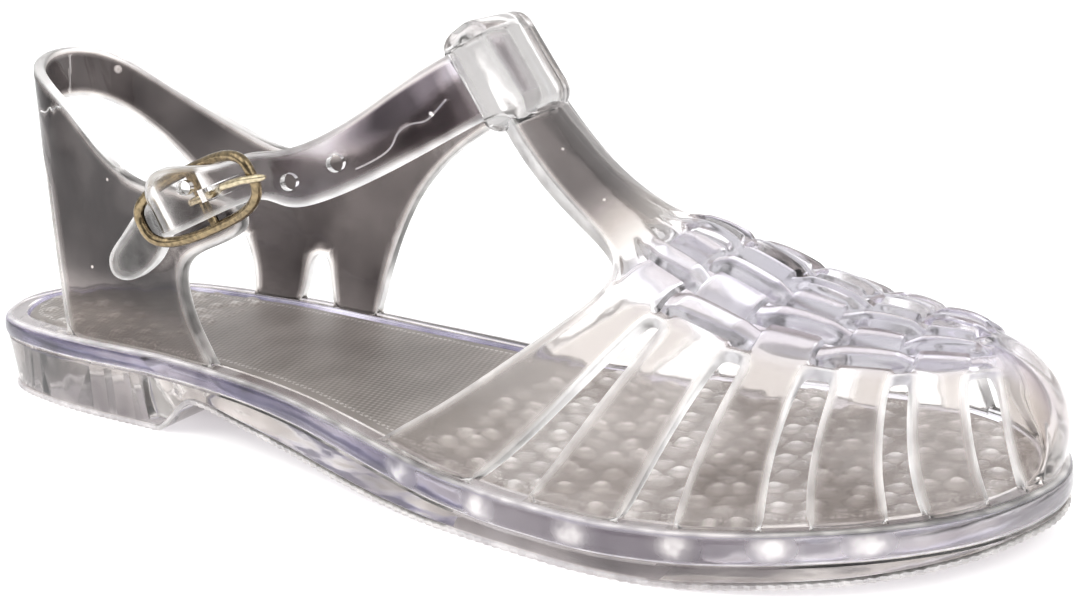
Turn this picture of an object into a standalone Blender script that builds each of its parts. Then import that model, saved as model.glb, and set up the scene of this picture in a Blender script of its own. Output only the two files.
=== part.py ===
# Clear moulded beach sandal, right shoe: a woven-look cage vamp with a T-bar,
# a sling heel, an ankle strap with a wire buckle, and a low cored heel.
# Lengths in the tables are millimetres; X runs from heel to toe, +Y is the inner side, +Z is up.

import math

import bpy
import bmesh
import numpy as np
from mathutils import Matrix, Vector

MM = 0.001
SHOE_LENGTH = 250.0
CENTRE_X = 125.0
CENTRE_Y = -1.27
GAP = 0.3

RIM_WIDTH = 5.3
RECESS_DEPTH = 2.6
INSOLE_GAP = 0.5
INSOLE_TOP = 0.5
UPPER_INSET = 2.0

RIB_WALL = 2.6
WEAVE_WALL = 3.2
BAR_WALL = 4.2
STRAP_WALL = 2.6
SPREAD_POWER = 1.1
RISE_POWER = 1.0
SWEEP_POWER = 0.85
RIDGE_Y = 4.5

SLEEVE_WIDTH = 22.0
SLEEVE_HEIGHT = 21.8
SLEEVE_DEPTH = 11.2
SLEEVE_LEAN = math.radians(34.0)

BUCKLE_X = 86.5
BUCKLE_Z = 54.9
BUCKLE_TILT = math.radians(23.6)
BUCKLE_LEAN = -0.09
BUCKLE_HALF_LENGTH = 16.4
BUCKLE_HALF_HEIGHT = 6.3
BUCKLE_SQUARENESS = 0.68
BUCKLE_BOW = 2.2
BUCKLE_WIRE = 1.1
BAR_OUT = 29.4
PRONG_WIRE = 0.8

# Sole sections along the length: half widths, rim height, underside height, depth of the upper band
SOLE_COLUMNS = ("x", "lateral", "medial", "rim", "under", "band")
SOLE_SECTIONS = (
    (2.0, 7.8, 7.2, 17.4, 0.0, 4.6),
    (10.0, 17.8, 17.3, 17.5, 0.0, 4.6),
    (30.0, 23.6, 25.0, 17.6, 0.0, 4.6),
    (62.0, 25.6, 26.6, 17.6, 0.0, 4.6),
    (75.0, 27.0, 26.2, 17.4, 8.4, 4.5),
    (90.0, 29.2, 25.3, 17.0, 6.4, 4.6),
    (105.0, 32.0, 25.3, 16.2, 4.3, 4.9),
    (120.0, 35.6, 27.0, 14.7, 2.3, 5.2),
    (135.0, 38.9, 30.2, 12.6, 0.7, 5.5),
    (148.0, 41.3, 34.0, 10.9, 0.0, 5.7),
    (165.0, 43.8, 38.6, 10.0, 0.0, 5.8),
    (180.0, 45.2, 41.6, 10.0, 0.0, 5.8),
    (192.0, 44.6, 42.6, 10.3, 0.0, 5.8),
    (205.0, 42.0, 42.3, 10.9, 0.8, 5.7),
    (225.0, 33.4, 37.8, 12.2, 2.4, 5.6),
    (240.0, 20.2, 29.0, 12.6, 4.0, 5.5),
    (247.5, 6.6, 17.6, 12.7, 4.9, 5.5),
)
HEEL_BACK = (0.0, 0.0)
TOE_TIP = (250.0, 5.6)

# Lines across the vamp from rear to toe: where each meets the rim and where it crosses the ridge
VAMP_COLUMNS = ("line", "rim_x", "ridge_x", "ridge_z", "slot_before")
VAMP_LINES = (
    ("rib_a_rear", 129.4, 181.4, 51.6, False),
    ("rib_a_front", 154.2, 188.0, 48.7, False),
    ("rib_b_rear", 166.1, 189.6, 48.1, True),
    ("rib_b_front", 186.7, 199.4, 43.9, False),
    ("rib_c_rear", 196.1, 202.4, 43.0, True),
    ("rib_c_front", 211.9, 210.9, 40.8, False),
    ("rib_d_rear", 218.4, 215.3, 39.9, True),
    ("rib_d_front", 230.8, 223.0, 38.8, False),
    ("rib_e_rear", 235.8, 225.4, 38.6, True),
    ("rib_e_front", 243.6, 233.2, 37.8, False),
    ("cap_rear", 247.4, 236.6, 37.2, True),
    ("cap_top", 248.0, 242.6, 34.9, False),
    ("cap_brow", 248.5, 247.8, 29.0, False),
    ("cap_face", 248.9, 250.6, 21.0, False),
    ("cap_foot", 249.2, 248.2, 12.9, False),
)
# Angle of each column across the last, rim to rim; the slots end at the outer weave columns
COLUMN_ANGLES = (0, 12, 25, 39, 52, 65, 78, 90, 102, 115, 128, 141, 155, 168, 180)
WEAVE_FIRST = 4
WEAVE_LAST = 10

# T-bar stations from the vamp up into the sleeve: centre, half width, drop of the edges
BAR_COLUMNS = ("x", "z", "half_width", "edge_drop", "edge_back")
BAR_STATIONS = (
    (174.2, 53.8, 14.8, 5.4, 2.0),
    (166.4, 57.4, 12.6, 3.4, 2.0),
    (159.4, 62.4, 12.0, 2.4, 2.4),
    (153.2, 69.0, 11.6, 1.6, 2.8),
    (148.6, 75.0, 10.6, 1.2, 2.6),
    (144.0, 81.0, 9.6, 1.0, 2.0),
)
BAR_Y = 0.8
SLEEVE_CENTRE = (140.9, 0.0, 78.8)

# Lateral quarter: columns from its rear edge to its front edge, foot to top line
QUARTER_COLUMNS = ("foot_x", "top_x", "top_y", "top_z", "hollow")
LATERAL_QUARTER = (
    (34.6, 27.6, -16.4, 75.0, -0.2),
    (44.0, 38.0, -18.4, 69.2, 0.0),
    (52.5, 47.0, -20.6, 62.2, 0.0),
    (61.5, 55.5, -22.2, 56.6, 0.4),
    (71.0, 64.0, -23.4, 54.2, 2.4),
    (82.0, 74.5, -24.8, 54.4, 4.6),
)
QUARTER_STEPS = (0.0, 0.2, 0.4, 0.62, 0.83, 1.0)
TAB_ROWS = (
    (84.0, -26.1, 43.6, 49.6, 55.0),
    (94.0, -27.3, 48.0, 51.0, 54.0),
)

# Edges of the sling and strap, station by station: lower edge, then upper edge
STRAP_COLUMNS = ("low_x", "low_y", "low_z", "top_x", "top_y", "top_z")
SLING_STATIONS = (
    (23.4, -12.6, 66.2, 23.0, -12.2, 76.8),
    (20.0, -6.6, 67.2, 19.8, -6.4, 78.2),
    (19.0, 0.6, 67.4, 18.8, 0.6, 78.6),
    (20.2, 8.0, 66.6, 20.2, 7.6, 78.0),
    (24.6, 14.2, 63.4, 26.0, 13.2, 75.6),
    (32.4, 18.6, 57.0, 36.6, 17.2, 69.0),
    (40.4, 21.6, 47.0, 49.0, 19.8, 62.2),
    (49.4, 23.8, 35.6, 60.6, 21.6, 56.4),
)
SADDLE_STATIONS = (
    (50.8, 24.2, 32.4, 65.0, 22.6, 54.6),
    (59.0, 24.9, 31.8, 71.0, 23.4, 53.8),
    (70.2, 25.2, 29.6, 77.0, 24.0, 54.2),
    (75.2, 25.2, 29.8, 82.6, 24.4, 55.4),
    (84.2, 24.9, 33.0, 87.4, 24.5, 57.0),
    (93.0, 24.6, 35.4, 92.0, 24.4, 59.0),
)
LEG_FEET = (51.4, 59.0, 66.8, 76.8, 83.2, 89.8)
LEG_WAIST = (53.2, 60.8, 69.0, 75.8, 83.2, 91.0)
STRAP_STATIONS = (
    (102.0, 24.0, 46.0, 97.8, 23.8, 61.0),
    (112.6, 21.4, 55.8, 106.0, 21.8, 67.2),
    (125.0, 16.8, 63.2, 118.2, 17.4, 75.0),
    (143.0, 10.4, 71.9, 135.8, 10.4, 84.3),
    (144.2, 0.0, 72.9, 137.0, 0.0, 85.2),
    (143.0, -10.4, 71.9, 135.8, -10.4, 84.3),
    (134.0, -16.6, 66.2, 127.4, -16.8, 78.6),
    (124.6, -21.2, 60.8, 119.8, -21.0, 72.4),
    (116.0, -25.0, 56.6, 112.0, -24.8, 67.6),
    (107.4, -28.0, 53.6, 104.4, -27.8, 65.0),
)
# Strap through the buckle: distance along the buckle, stand-off from the shoe's middle, reach down and up
BUCKLE_PASS_COLUMNS = ("along", "out", "low", "top")
BUCKLE_PASS = (
    (15.0, 29.0, 4.8, 4.8),
    (10.0, 31.2, 4.2, 4.1),
    (5.0, 34.8, 4.5, 6.2),
    (0.0, 36.6, 4.7, 8.2),
    (-5.0, 36.2, 4.7, 8.0),
    (-9.5, 34.4, 4.5, 5.6),
    (-13.0, 30.9, 3.6, 3.2),
    (-16.5, 28.8, 5.0, 4.6),
)
# Free end of the strap, rounded: lower edge, middle, upper edge
STRAP_END = (
    ((72.0, -29.0, 40.4), (68.4, -28.9, 44.2), (64.8, -28.8, 48.0)),
    ((68.8, -28.8, 38.0), (65.0, -28.7, 41.0), (61.5, -28.5, 44.3)),
    ((63.2, -28.4, 34.4), (56.4, -28.2, 34.8), (56.8, -28.1, 40.2)),
)
# Round holes in the strap: place along it as x and z, with the hole's radius
STRAP_HOLES = (
    ("hole_near", 107.0, -27.5, 59.5, 1.7),
    ("hole_far", 115.9, -24.0, 63.2, 1.7),
    ("hole_free", 87.4, -35.6, 58.4, 1.5),
)
# Course of the prong past its hook: along the buckle, stand-off, drop
PRONG_PATH = (
    (4.6, 30.2, 0.0),
    (7.4, 32.0, 0.0),
    (10.0, 33.6, 0.0),
    (12.6, 34.2, -0.2),
    (15.6, 34.1, -0.5),
    (18.6, 33.9, -1.2),
    (21.2, 33.6, -1.8),
)
HOLE_DEPTH = 7.0
PRONG_SLOT_ALONG = 9.0
PRONG_SLOT_LENGTH = 9.0
PRONG_SLOT_WIDTH = 2.6


def clear_scene():
    for obj in list(bpy.data.objects):
        bpy.data.objects.remove(obj, do_unlink=True)


def column(table, names, name):
    return np.array([row[names.index(name)] for row in table], dtype=float)


def smooth_curve(xs, ys):
    """Monotone cubic through the table's rows, flat at its ends."""
    xs = np.asarray(xs, dtype=float)
    ys = np.asarray(ys, dtype=float)
    step = np.diff(xs)
    slope = np.diff(ys) / step
    tangent = np.zeros_like(ys)
    for i in range(1, len(xs) - 1):
        if slope[i - 1] * slope[i] > 0.0:
            a = 2.0 * step[i] + step[i - 1]
            b = step[i] + 2.0 * step[i - 1]
            tangent[i] = (a + b) / (a / slope[i - 1] + b / slope[i])
    tangent[0] = slope[0]
    tangent[-1] = slope[-1]

    def value(x):
        x = min(max(x, xs[0]), xs[-1])
        i = min(int(np.searchsorted(xs, x, side="right")) - 1, len(xs) - 2)
        t = (x - xs[i]) / step[i]
        h00 = (1.0 + 2.0 * t) * (1.0 - t) ** 2
        h10 = t * (1.0 - t) ** 2
        h01 = t * t * (3.0 - 2.0 * t)
        h11 = t * t * (t - 1.0)
        return h00 * ys[i] + h10 * step[i] * tangent[i] + h01 * ys[i + 1] + h11 * step[i] * tangent[i + 1]

    return value


SECTION_X = column(SOLE_SECTIONS, SOLE_COLUMNS, "x")
rim_height = smooth_curve(SECTION_X, column(SOLE_SECTIONS, SOLE_COLUMNS, "rim"))
under_height = smooth_curve(SECTION_X, column(SOLE_SECTIONS, SOLE_COLUMNS, "under"))
band_depth = smooth_curve(SECTION_X, column(SOLE_SECTIONS, SOLE_COLUMNS, "band"))


def sole_outline():
    """Closed plan curve through the sections, heel back and toe tip, as a dense loop."""
    lateral = [(row[0], -row[1]) for row in SOLE_SECTIONS]
    medial = [(row[0], row[2]) for row in reversed(SOLE_SECTIONS)]
    knots = np.array([HEEL_BACK] + lateral + [TOE_TIP] + medial)
    count = len(knots)
    gaps = np.sqrt(np.linalg.norm(np.roll(knots, -1, axis=0) - knots, axis=1))
    points = []
    for i in range(count):
        p0, p1, p2, p3 = (knots[(i + k) % count] for k in (-1, 0, 1, 2))
        d0, d1, d2 = gaps[i - 1], gaps[i], gaps[(i + 1) % count]
        m1 = (p1 - p0) / d0 - (p2 - p0) / (d0 + d1) + (p2 - p1) / d1
        m2 = (p2 - p1) / d1 - (p3 - p1) / (d1 + d2) + (p3 - p2) / d2
        for t in np.linspace(0.0, 1.0, 24, endpoint=False):
            h00 = (1.0 + 2.0 * t) * (1.0 - t) ** 2
            h10 = t * (1.0 - t) ** 2
            h01 = t * t * (3.0 - 2.0 * t)
            h11 = t * t * (t - 1.0)
            points.append(h00 * p1 + h10 * d1 * m1 + h01 * p2 + h11 * d1 * m2)
    return np.array(points)


OUTLINE = sole_outline()
TIP_INDEX = int(OUTLINE[:, 0].argmax())
BACK_INDEX = int(OUTLINE[:, 0].argmin())


def outline_normal(index):
    ahead = OUTLINE[(index + 1) % len(OUTLINE)] - OUTLINE[index - 1]
    ahead = ahead / np.linalg.norm(ahead)
    return np.array([ahead[1], -ahead[0]])


def outline_index(x, side):
    """Outline sample nearest to x on the lateral (-1) or medial (+1) side."""
    lateral = np.arange(len(OUTLINE)) <= TIP_INDEX
    keep = lateral if side < 0 else ~lateral
    away = np.abs(OUTLINE[:, 0] - x) + np.where(keep, 0.0, 1e6)
    return int(away.argmin())


def rim_point(x, side, inset):
    index = outline_index(x, side)
    return OUTLINE[index] - outline_normal(index) * inset


RING_X = (0.4, 2.2, 5.5, 10.5, 18.0, 30.0, 46.0, 61.8, 67.5, 75.0, 90.0, 105.0, 120.0, 134.0, 148.0, 164.0,
          178.0, 192.0, 205.0, 216.0, 226.0, 234.5, 241.0, 245.2, 248.2, 249.6)


def ring_indices(stations):
    lateral = [outline_index(x, -1) for x in stations]
    medial = [outline_index(x, 1) for x in reversed(stations)]
    return [BACK_INDEX] + lateral + [TIP_INDEX] + medial


def place(point):
    return Vector(((point[0] - CENTRE_X) * MM, (point[1] - CENTRE_Y) * MM, point[2] * MM))


def sole_ring(bm, indices, inset, height):
    ring = []
    for index in indices:
        x, y = OUTLINE[index] - outline_normal(index) * inset(OUTLINE[index][0])
        ring.append(bm.verts.new(place((x, y, height(OUTLINE[index][0])))))
    return ring


def bridge(bm, lower, upper):
    count = len(lower)
    for i in range(count):
        k = (i + 1) % count
        bm.faces.new((lower[i], lower[k], upper[k], upper[i]))


def fill_across(bm, ring, facing_up):
    """Close a ring whose lateral and medial points are paired, strip by strip."""
    half = (len(ring) - 2) // 2
    lateral = ring[1:half + 1]
    medial = list(reversed(ring[half + 2:]))
    strips = [(ring[0], lateral[0], medial[0])]
    for i in range(half - 1):
        strips.append((lateral[i], lateral[i + 1], medial[i + 1], medial[i]))
    strips.append((lateral[-1], ring[half + 1], medial[-1]))
    for strip in strips:
        bm.faces.new(strip if facing_up else tuple(reversed(strip)))


def material(name, colour, roughness, metallic=0.0, transmission=0.0):
    mat = bpy.data.materials.new(name)
    mat.use_nodes = True
    shader = mat.node_tree.nodes["Principled BSDF"]
    shader.inputs["Base Color"].default_value = (*colour, 1.0)
    shader.inputs["Roughness"].default_value = roughness
    shader.inputs["Metallic"].default_value = metallic
    shader.inputs["Transmission Weight"].default_value = transmission
    return mat


def mesh_object(name, bm, collection, mat=None):
    bmesh.ops.recalc_face_normals(bm, faces=bm.faces)
    mesh = bpy.data.meshes.new(name)
    bm.to_mesh(mesh)
    bm.free()
    mesh.shade_smooth()
    mesh.set_sharp_from_angle(angle=math.radians(40.0))
    obj = bpy.data.objects.new(name, mesh)
    collection.objects.link(obj)
    if mat:
        mesh.materials.append(mat)
    return obj


def bake(obj):
    """Make an object's modifiers, or a curve's tube, into a plain mesh object."""
    bpy.context.view_layer.update()
    graph = bpy.context.evaluated_depsgraph_get()
    mesh = bpy.data.meshes.new_from_object(obj.evaluated_get(graph))
    name = obj.name
    collection = obj.users_collection[0]
    matrix = obj.matrix_world.copy()
    bpy.data.objects.remove(obj, do_unlink=True)
    mesh.name = name
    solid = bpy.data.objects.new(name, mesh)
    collection.objects.link(solid)
    solid.matrix_world = matrix
    return solid


def weld(obj, distance=1e-5):
    bm = bmesh.new()
    bm.from_mesh(obj.data)
    bmesh.ops.remove_doubles(bm, verts=bm.verts, dist=distance)
    bmesh.ops.recalc_face_normals(bm, faces=bm.faces)
    bm.to_mesh(obj.data)
    bm.free()


def combine(obj, other, operation):
    cut = obj.modifiers.new(operation.lower(), "BOOLEAN")
    cut.operation = operation
    cut.solver = "EXACT"
    cut.object = other
    other.hide_render = True
    other.display_type = "WIRE"


def build_sole(parts, cutters, mat):
    bm = bmesh.new()
    indices = ring_indices(RING_X)

    def taper(x):
        return 1.0 * max(0.0, 1.0 - x / 62.0)

    rings = [
        sole_ring(bm, indices, lambda x: 1.1 + taper(x), under_height),
        sole_ring(bm, indices, lambda x: 0.7 + taper(x), lambda x: under_height(x) + 0.7),
        sole_ring(bm, indices, lambda x: 0.6, lambda x: rim_height(x) - band_depth(x) - 0.3),
        sole_ring(bm, indices, lambda x: 0.0, lambda x: rim_height(x) - band_depth(x) + 0.5),
        sole_ring(bm, indices, lambda x: 0.0, lambda x: rim_height(x) - 1.6),
        sole_ring(bm, indices, lambda x: 0.4, lambda x: rim_height(x) - 0.5),
        sole_ring(bm, indices, lambda x: 1.2, rim_height),
        sole_ring(bm, indices, lambda x: RIM_WIDTH, rim_height),
        sole_ring(bm, indices, lambda x: RIM_WIDTH + 0.2, lambda x: rim_height(x) - RECESS_DEPTH),
    ]
    for lower, upper in zip(rings, rings[1:]):
        bridge(bm, lower, upper)
    fill_across(bm, rings[0], facing_up=False)
    fill_across(bm, rings[-1], facing_up=True)
    sole = mesh_object("sole", bm, parts, mat)

    core = bmesh.new()
    stations = (10.0, 14.0, 20.0, 28.0, 38.0, 48.0, 55.0)
    sides = [outline_index(x, -1) for x in stations] + [outline_index(x, 1) for x in reversed(stations)]
    floor_ring = sole_ring(core, sides, lambda x: 6.4, lambda x: -2.0)
    roof_ring = sole_ring(core, sides, lambda x: 8.2, lambda x: 10.5)
    bridge(core, floor_ring, roof_ring)
    core.faces.new(tuple(reversed(floor_ring)))
    core.faces.new(roof_ring)
    cavity = mesh_object("heel_core", core, cutters)
    combine(sole, cavity, "DIFFERENCE")
    return sole


def build_insole(parts, mat):
    bm = bmesh.new()
    indices = ring_indices(RING_X)
    edge = RIM_WIDTH + INSOLE_GAP
    rings = [
        sole_ring(bm, indices, lambda x: edge, lambda x: rim_height(x) - RECESS_DEPTH + GAP),
        sole_ring(bm, indices, lambda x: edge, lambda x: rim_height(x) - INSOLE_TOP - 0.6),
        sole_ring(bm, indices, lambda x: edge + 0.7, lambda x: rim_height(x) - INSOLE_TOP),
    ]
    for lower, upper in zip(rings, rings[1:]):
        bridge(bm, lower, upper)
    fill_across(bm, rings[0], facing_up=False)
    fill_across(bm, rings[-1], facing_up=True)
    return mesh_object("insole", bm, parts, mat)


def vamp_point(line, angle):
    name, rim_x, ridge_x, ridge_z, slot = line
    side = -1 if angle <= 90 else 1
    turn = math.radians(angle)
    across = abs(math.cos(turn)) ** SPREAD_POWER
    up = math.sin(turn) ** RISE_POWER
    foot = rim_point(rim_x, side, UPPER_INSET)
    base = rim_height(rim_x) + GAP
    x = foot[0] + (ridge_x - foot[0]) * math.sin(turn) ** SWEEP_POWER
    y = RIDGE_Y + (foot[1] - RIDGE_Y) * across
    if name == "cap_foot":
        return (x, y, base)
    return (x, y, base + (ridge_z - base) * up)


def sheet(bm, rows, skip=()):
    """Quads between rows of points; a row entry of None leaves its cells open."""
    made = [[None if p is None else (p if isinstance(p, bmesh.types.BMVert) else bm.verts.new(place(p)))
             for p in row] for row in rows]
    for i in range(len(made) - 1):
        for j in range(len(made[i]) - 1):
            corners = (made[i][j], made[i][j + 1], made[i + 1][j + 1], made[i + 1][j])
            if (i, j) not in skip and None not in corners:
                bm.faces.new(corners)
    return made


def shell(name, bm, collection, wall, walls=None):
    """Wall of the given thickness inside a surface, rounded by subdivision."""
    mesh = bpy.data.meshes.new(name)
    bm.to_mesh(mesh)
    bm.free()
    obj = bpy.data.objects.new(name, mesh)
    collection.objects.link(obj)
    solidify = obj.modifiers.new("wall", "SOLIDIFY")
    solidify.thickness = wall * MM
    solidify.offset = -1.0
    solidify.use_even_offset = True
    if walls:
        group = obj.vertex_groups.new(name="wall")
        for index, share in walls.items():
            group.add([index], share, "REPLACE")
        solidify.vertex_group = "wall"
    rounding = obj.modifiers.new("rounding", "SUBSURF")
    rounding.levels = 1
    rounding.render_levels = 1
    return bake(obj)


def build_vamp(collection):
    bm = bmesh.new()
    none_left = [None] * WEAVE_FIRST
    none_right = [None] * (len(COLUMN_ANGLES) - 1 - WEAVE_LAST)
    rows = []
    spread = np.linspace(-1.0, 1.0, WEAVE_LAST - WEAVE_FIRST + 1)
    for x, z, half_width, drop, back in reversed(BAR_STATIONS):
        points = [(x - back * t * t, BAR_Y + half_width * t, z - drop * t * t) for t in spread]
        rows.append(none_left + points + none_right)
    for line in VAMP_LINES:
        rows.append([vamp_point(line, angle) for angle in COLUMN_ANGLES])
    skip = set()
    first = len(BAR_STATIONS)
    for i, line in enumerate(VAMP_LINES):
        if line[4]:
            for j in range(len(COLUMN_ANGLES) - 1):
                if j < WEAVE_FIRST or j >= WEAVE_LAST:
                    skip.add((first + i - 1, j))
    made = sheet(bm, rows, skip)
    bmesh.ops.reverse_faces(bm, faces=bm.faces)
    bm.verts.index_update()
    walls = {}
    for i, row in enumerate(made):
        for j, vert in enumerate(row):
            if vert is None:
                continue
            inner = WEAVE_FIRST <= j <= WEAVE_LAST
            wall = RIB_WALL
            if i < first:
                wall = BAR_WALL
            elif inner:
                wall = WEAVE_WALL
            walls[vert.index] = wall / BAR_WALL
    return shell("vamp", bm, collection, BAR_WALL, walls)


def across(station, steps):
    low = np.array(station[:3])
    top = np.array(station[3:])
    return [tuple(low + (top - low) * t) for t in steps]


def buckle_frame_point(along, out, up=0.0):
    """Point by distance along and up the tilted buckle and its stand-off from the shoe's middle."""
    x = BUCKLE_X + along * math.cos(BUCKLE_TILT) - up * math.sin(BUCKLE_TILT)
    z = BUCKLE_Z + along * math.sin(BUCKLE_TILT) + up * math.cos(BUCKLE_TILT)
    return (x, BUCKLE_LEAN * up - out, z)


def quarter_point(row, t):
    foot_x, top_x, top_y, top_z, hollow = row
    foot = rim_point(foot_x, -1, UPPER_INSET)
    base = rim_height(foot_x) + GAP
    x = foot[0] + (top_x - foot[0]) * t - hollow * math.sin(math.pi * min(t / 0.8, 1.0))
    y = foot[1] + (top_y - foot[1]) * t ** 1.3
    return (x, y, base + (top_z - base) * t)


def build_straps(collection):
    bm = bmesh.new()
    steps = len(QUARTER_STEPS)
    quarter = [[bm.verts.new(place(quarter_point(row, t))) for t in QUARTER_STEPS]
               for row in reversed(LATERAL_QUARTER)]
    tab = []
    for x, y, low, middle, top in reversed(TAB_ROWS):
        tab.append([bm.verts.new(place((x, y, z))) for z in (low, middle, top)])
    tab.append(quarter[0][steps - 3:])
    sheet(bm, tab)
    sheet(bm, quarter)

    halves = (0.0, 0.5, 1.0)
    sling = [[bm.verts.new(place(p)) for p in across(row, halves)] for row in SLING_STATIONS]
    saddle = [[bm.verts.new(place(p)) for p in across(row, halves)] for row in SADDLE_STATIONS]
    strap = [across(row, halves) for row in STRAP_STATIONS]
    for along, out, low, top in BUCKLE_PASS:
        strap.append([buckle_frame_point(along, out, up) for up in (-low, (top - low) / 2.0, top)])
    strap += [list(row) for row in STRAP_END]
    sheet(bm, [quarter[-1][steps - 3:]] + sling + saddle + strap)

    feet = []
    waist = []
    for foot_x, waist_x, row in zip(LEG_FEET, LEG_WAIST, SADDLE_STATIONS):
        foot = rim_point(foot_x, 1, UPPER_INSET)
        base = rim_height(foot_x) + GAP
        feet.append(bm.verts.new(place((foot[0], foot[1], base))))
        waist.append(bm.verts.new(place((waist_x, (foot[1] + row[1]) / 2.0, (base + row[2]) / 2.0))))
    low_edge = [row[0] for row in saddle]
    for first, last in ((0, 3), (3, 6)):
        sheet(bm, [[feet[k], waist[k], low_edge[k]] for k in range(first, last)])
    bmesh.ops.recalc_face_normals(bm, faces=bm.faces)
    centre = Vector(place((80.0, 0.0, 50.0)))
    tally = sum(f.normal.dot(f.calc_center_median() - centre) for f in bm.faces)
    if tally < 0.0:
        bmesh.ops.reverse_faces(bm, faces=bm.faces)
    return shell("straps", bm, collection, STRAP_WALL)


def build_sleeve(collection):
    bm = bmesh.new()
    bmesh.ops.create_cube(bm, size=1.0)
    bmesh.ops.scale(bm, vec=Vector((SLEEVE_DEPTH, SLEEVE_WIDTH, SLEEVE_HEIGHT)) * MM, verts=bm.verts)
    bmesh.ops.bevel(bm, geom=list(bm.edges), offset=4.0 * MM, segments=3, profile=0.5, affect="EDGES")
    bmesh.ops.rotate(bm, cent=Vector(), matrix=Matrix.Rotation(-SLEEVE_LEAN, 3, "Y"), verts=bm.verts)
    bmesh.ops.translate(bm, vec=place(SLEEVE_CENTRE), verts=bm.verts)
    return mesh_object("sleeve", bm, collection)


def hole_cutter(name, x, y, z, radius, collection):
    bm = bmesh.new()
    bmesh.ops.create_cone(bm, cap_ends=True, segments=14, radius1=radius * MM, radius2=radius * MM,
                          depth=HOLE_DEPTH * MM)
    outward = Vector((0.35, -1.0, 0.12)).normalized()
    bmesh.ops.rotate(bm, cent=Vector(), matrix=outward.to_track_quat("Z", "Y").to_matrix(), verts=bm.verts)
    bmesh.ops.translate(bm, vec=place((x, y, z)), verts=bm.verts)
    return mesh_object(name, bm, collection)


def prong_slot(collection):
    bm = bmesh.new()
    bmesh.ops.create_cube(bm, size=1.0)
    size = Vector((PRONG_SLOT_LENGTH, 9.0, PRONG_SLOT_WIDTH)) * MM
    bmesh.ops.scale(bm, vec=size, verts=bm.verts)
    bmesh.ops.rotate(bm, cent=Vector(), matrix=Matrix.Rotation(-BUCKLE_TILT, 3, "Y"), verts=bm.verts)
    bmesh.ops.translate(bm, vec=place(buckle_frame_point(PRONG_SLOT_ALONG, 31.6)), verts=bm.verts)
    return mesh_object("prong_slot", bm, collection)


def build_upper(parts, cutters, mat):
    vamp = build_vamp(cutters)
    straps = build_straps(cutters)
    sleeve = build_sleeve(cutters)
    combine(vamp, sleeve, "UNION")
    combine(vamp, straps, "UNION")
    for name, x, y, z, radius in STRAP_HOLES:
        combine(vamp, hole_cutter(name, x, y, z, radius, cutters), "DIFFERENCE")
    combine(vamp, prong_slot(cutters), "DIFFERENCE")
    upper = bake(vamp)
    cutters.objects.unlink(upper)
    parts.objects.link(upper)
    upper.name = "upper"
    upper.data.name = "upper"
    upper.data.materials.clear()
    upper.data.materials.append(mat)
    upper.data.shade_smooth()
    upper.data.set_sharp_from_angle(angle=math.radians(45.0))
    return upper


def tube(name, points, radius, collection, cyclic=False, sides=2):
    curve = bpy.data.curves.new(name, "CURVE")
    curve.dimensions = "3D"
    curve.bevel_depth = radius * MM
    curve.bevel_resolution = sides
    curve.use_fill_caps = not cyclic
    spline = curve.splines.new("POLY")
    spline.points.add(len(points) - 1)
    for spot, point in zip(spline.points, points):
        spot.co = (*place(point), 1.0)
    spline.use_cyclic_u = cyclic
    obj = bpy.data.objects.new(name, curve)
    collection.objects.link(obj)
    solid = bake(obj)
    weld(solid)
    return solid


def buckle_stand_off(along):
    return BAR_OUT + BUCKLE_BOW * (along / BUCKLE_HALF_LENGTH) ** 2


def build_buckle_frame(parts, cutters, mat):
    loop = []
    for step in range(36):
        turn = 2.0 * math.pi * step / 36
        c, s = math.cos(turn), math.sin(turn)
        along = BUCKLE_HALF_LENGTH * math.copysign(abs(c) ** BUCKLE_SQUARENESS, c)
        up = BUCKLE_HALF_HEIGHT * math.copysign(abs(s) ** BUCKLE_SQUARENESS, s)
        loop.append(buckle_frame_point(along, buckle_stand_off(along), up))
    frame = tube("buckle_frame", loop, BUCKLE_WIRE, parts, cyclic=True)
    reach = BUCKLE_HALF_HEIGHT
    bar_ends = [buckle_frame_point(0.0, BAR_OUT, up) for up in (-reach, 0.0, reach)]
    bar = tube("buckle_bar", bar_ends, BUCKLE_WIRE * 0.9, cutters)
    combine(frame, bar, "UNION")
    frame.data.materials.clear()
    frame.data.materials.append(mat)
    frame.data.shade_smooth()
    return frame


def build_buckle_prong(parts, mat):
    hook = BUCKLE_WIRE * 0.9 + GAP + PRONG_WIRE
    path = []
    for degrees in (205, 170, 135, 100, 65, 30, 0):
        turn = math.radians(degrees)
        path.append(buckle_frame_point(hook * math.cos(turn), BAR_OUT + hook * math.sin(turn)))
    path += [buckle_frame_point(along, out, drop) for along, out, drop in PRONG_PATH]
    prong = tube("buckle_prong", path, PRONG_WIRE, parts)
    prong.data.materials.clear()
    prong.data.materials.append(mat)
    prong.data.shade_smooth()
    return prong


def main():
    clear_scene()
    parts = bpy.data.collections.new("jelly_sandal")
    cutters = bpy.data.collections.new("cutters")
    for collection in (parts, cutters):
        bpy.context.scene.collection.children.link(collection)
    clear_pvc = material("clear_pvc", (0.62, 0.58, 0.57), 0.08, transmission=1.0)
    sole_pvc = material("sole_pvc", (0.62, 0.58, 0.60), 0.10, transmission=1.0)
    footbed_pvc = material("footbed_pvc", (0.55, 0.51, 0.50), 0.25, transmission=0.9)
    frame_brass = material("frame_brass", (0.60, 0.47, 0.24), 0.22, metallic=1.0)
    prong_brass = material("prong_brass", (0.66, 0.55, 0.34), 0.25, metallic=1.0)
    build_sole(parts, cutters, sole_pvc)
    build_insole(parts, footbed_pvc)
    build_upper(parts, cutters, clear_pvc)
    build_buckle_frame(parts, cutters, frame_brass)
    build_buckle_prong(parts, prong_brass)


main()
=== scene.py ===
import math

import bmesh
import bpy
import numpy as np
from mathutils import Matrix, Vector
from mathutils.kdtree import KDTree


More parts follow.
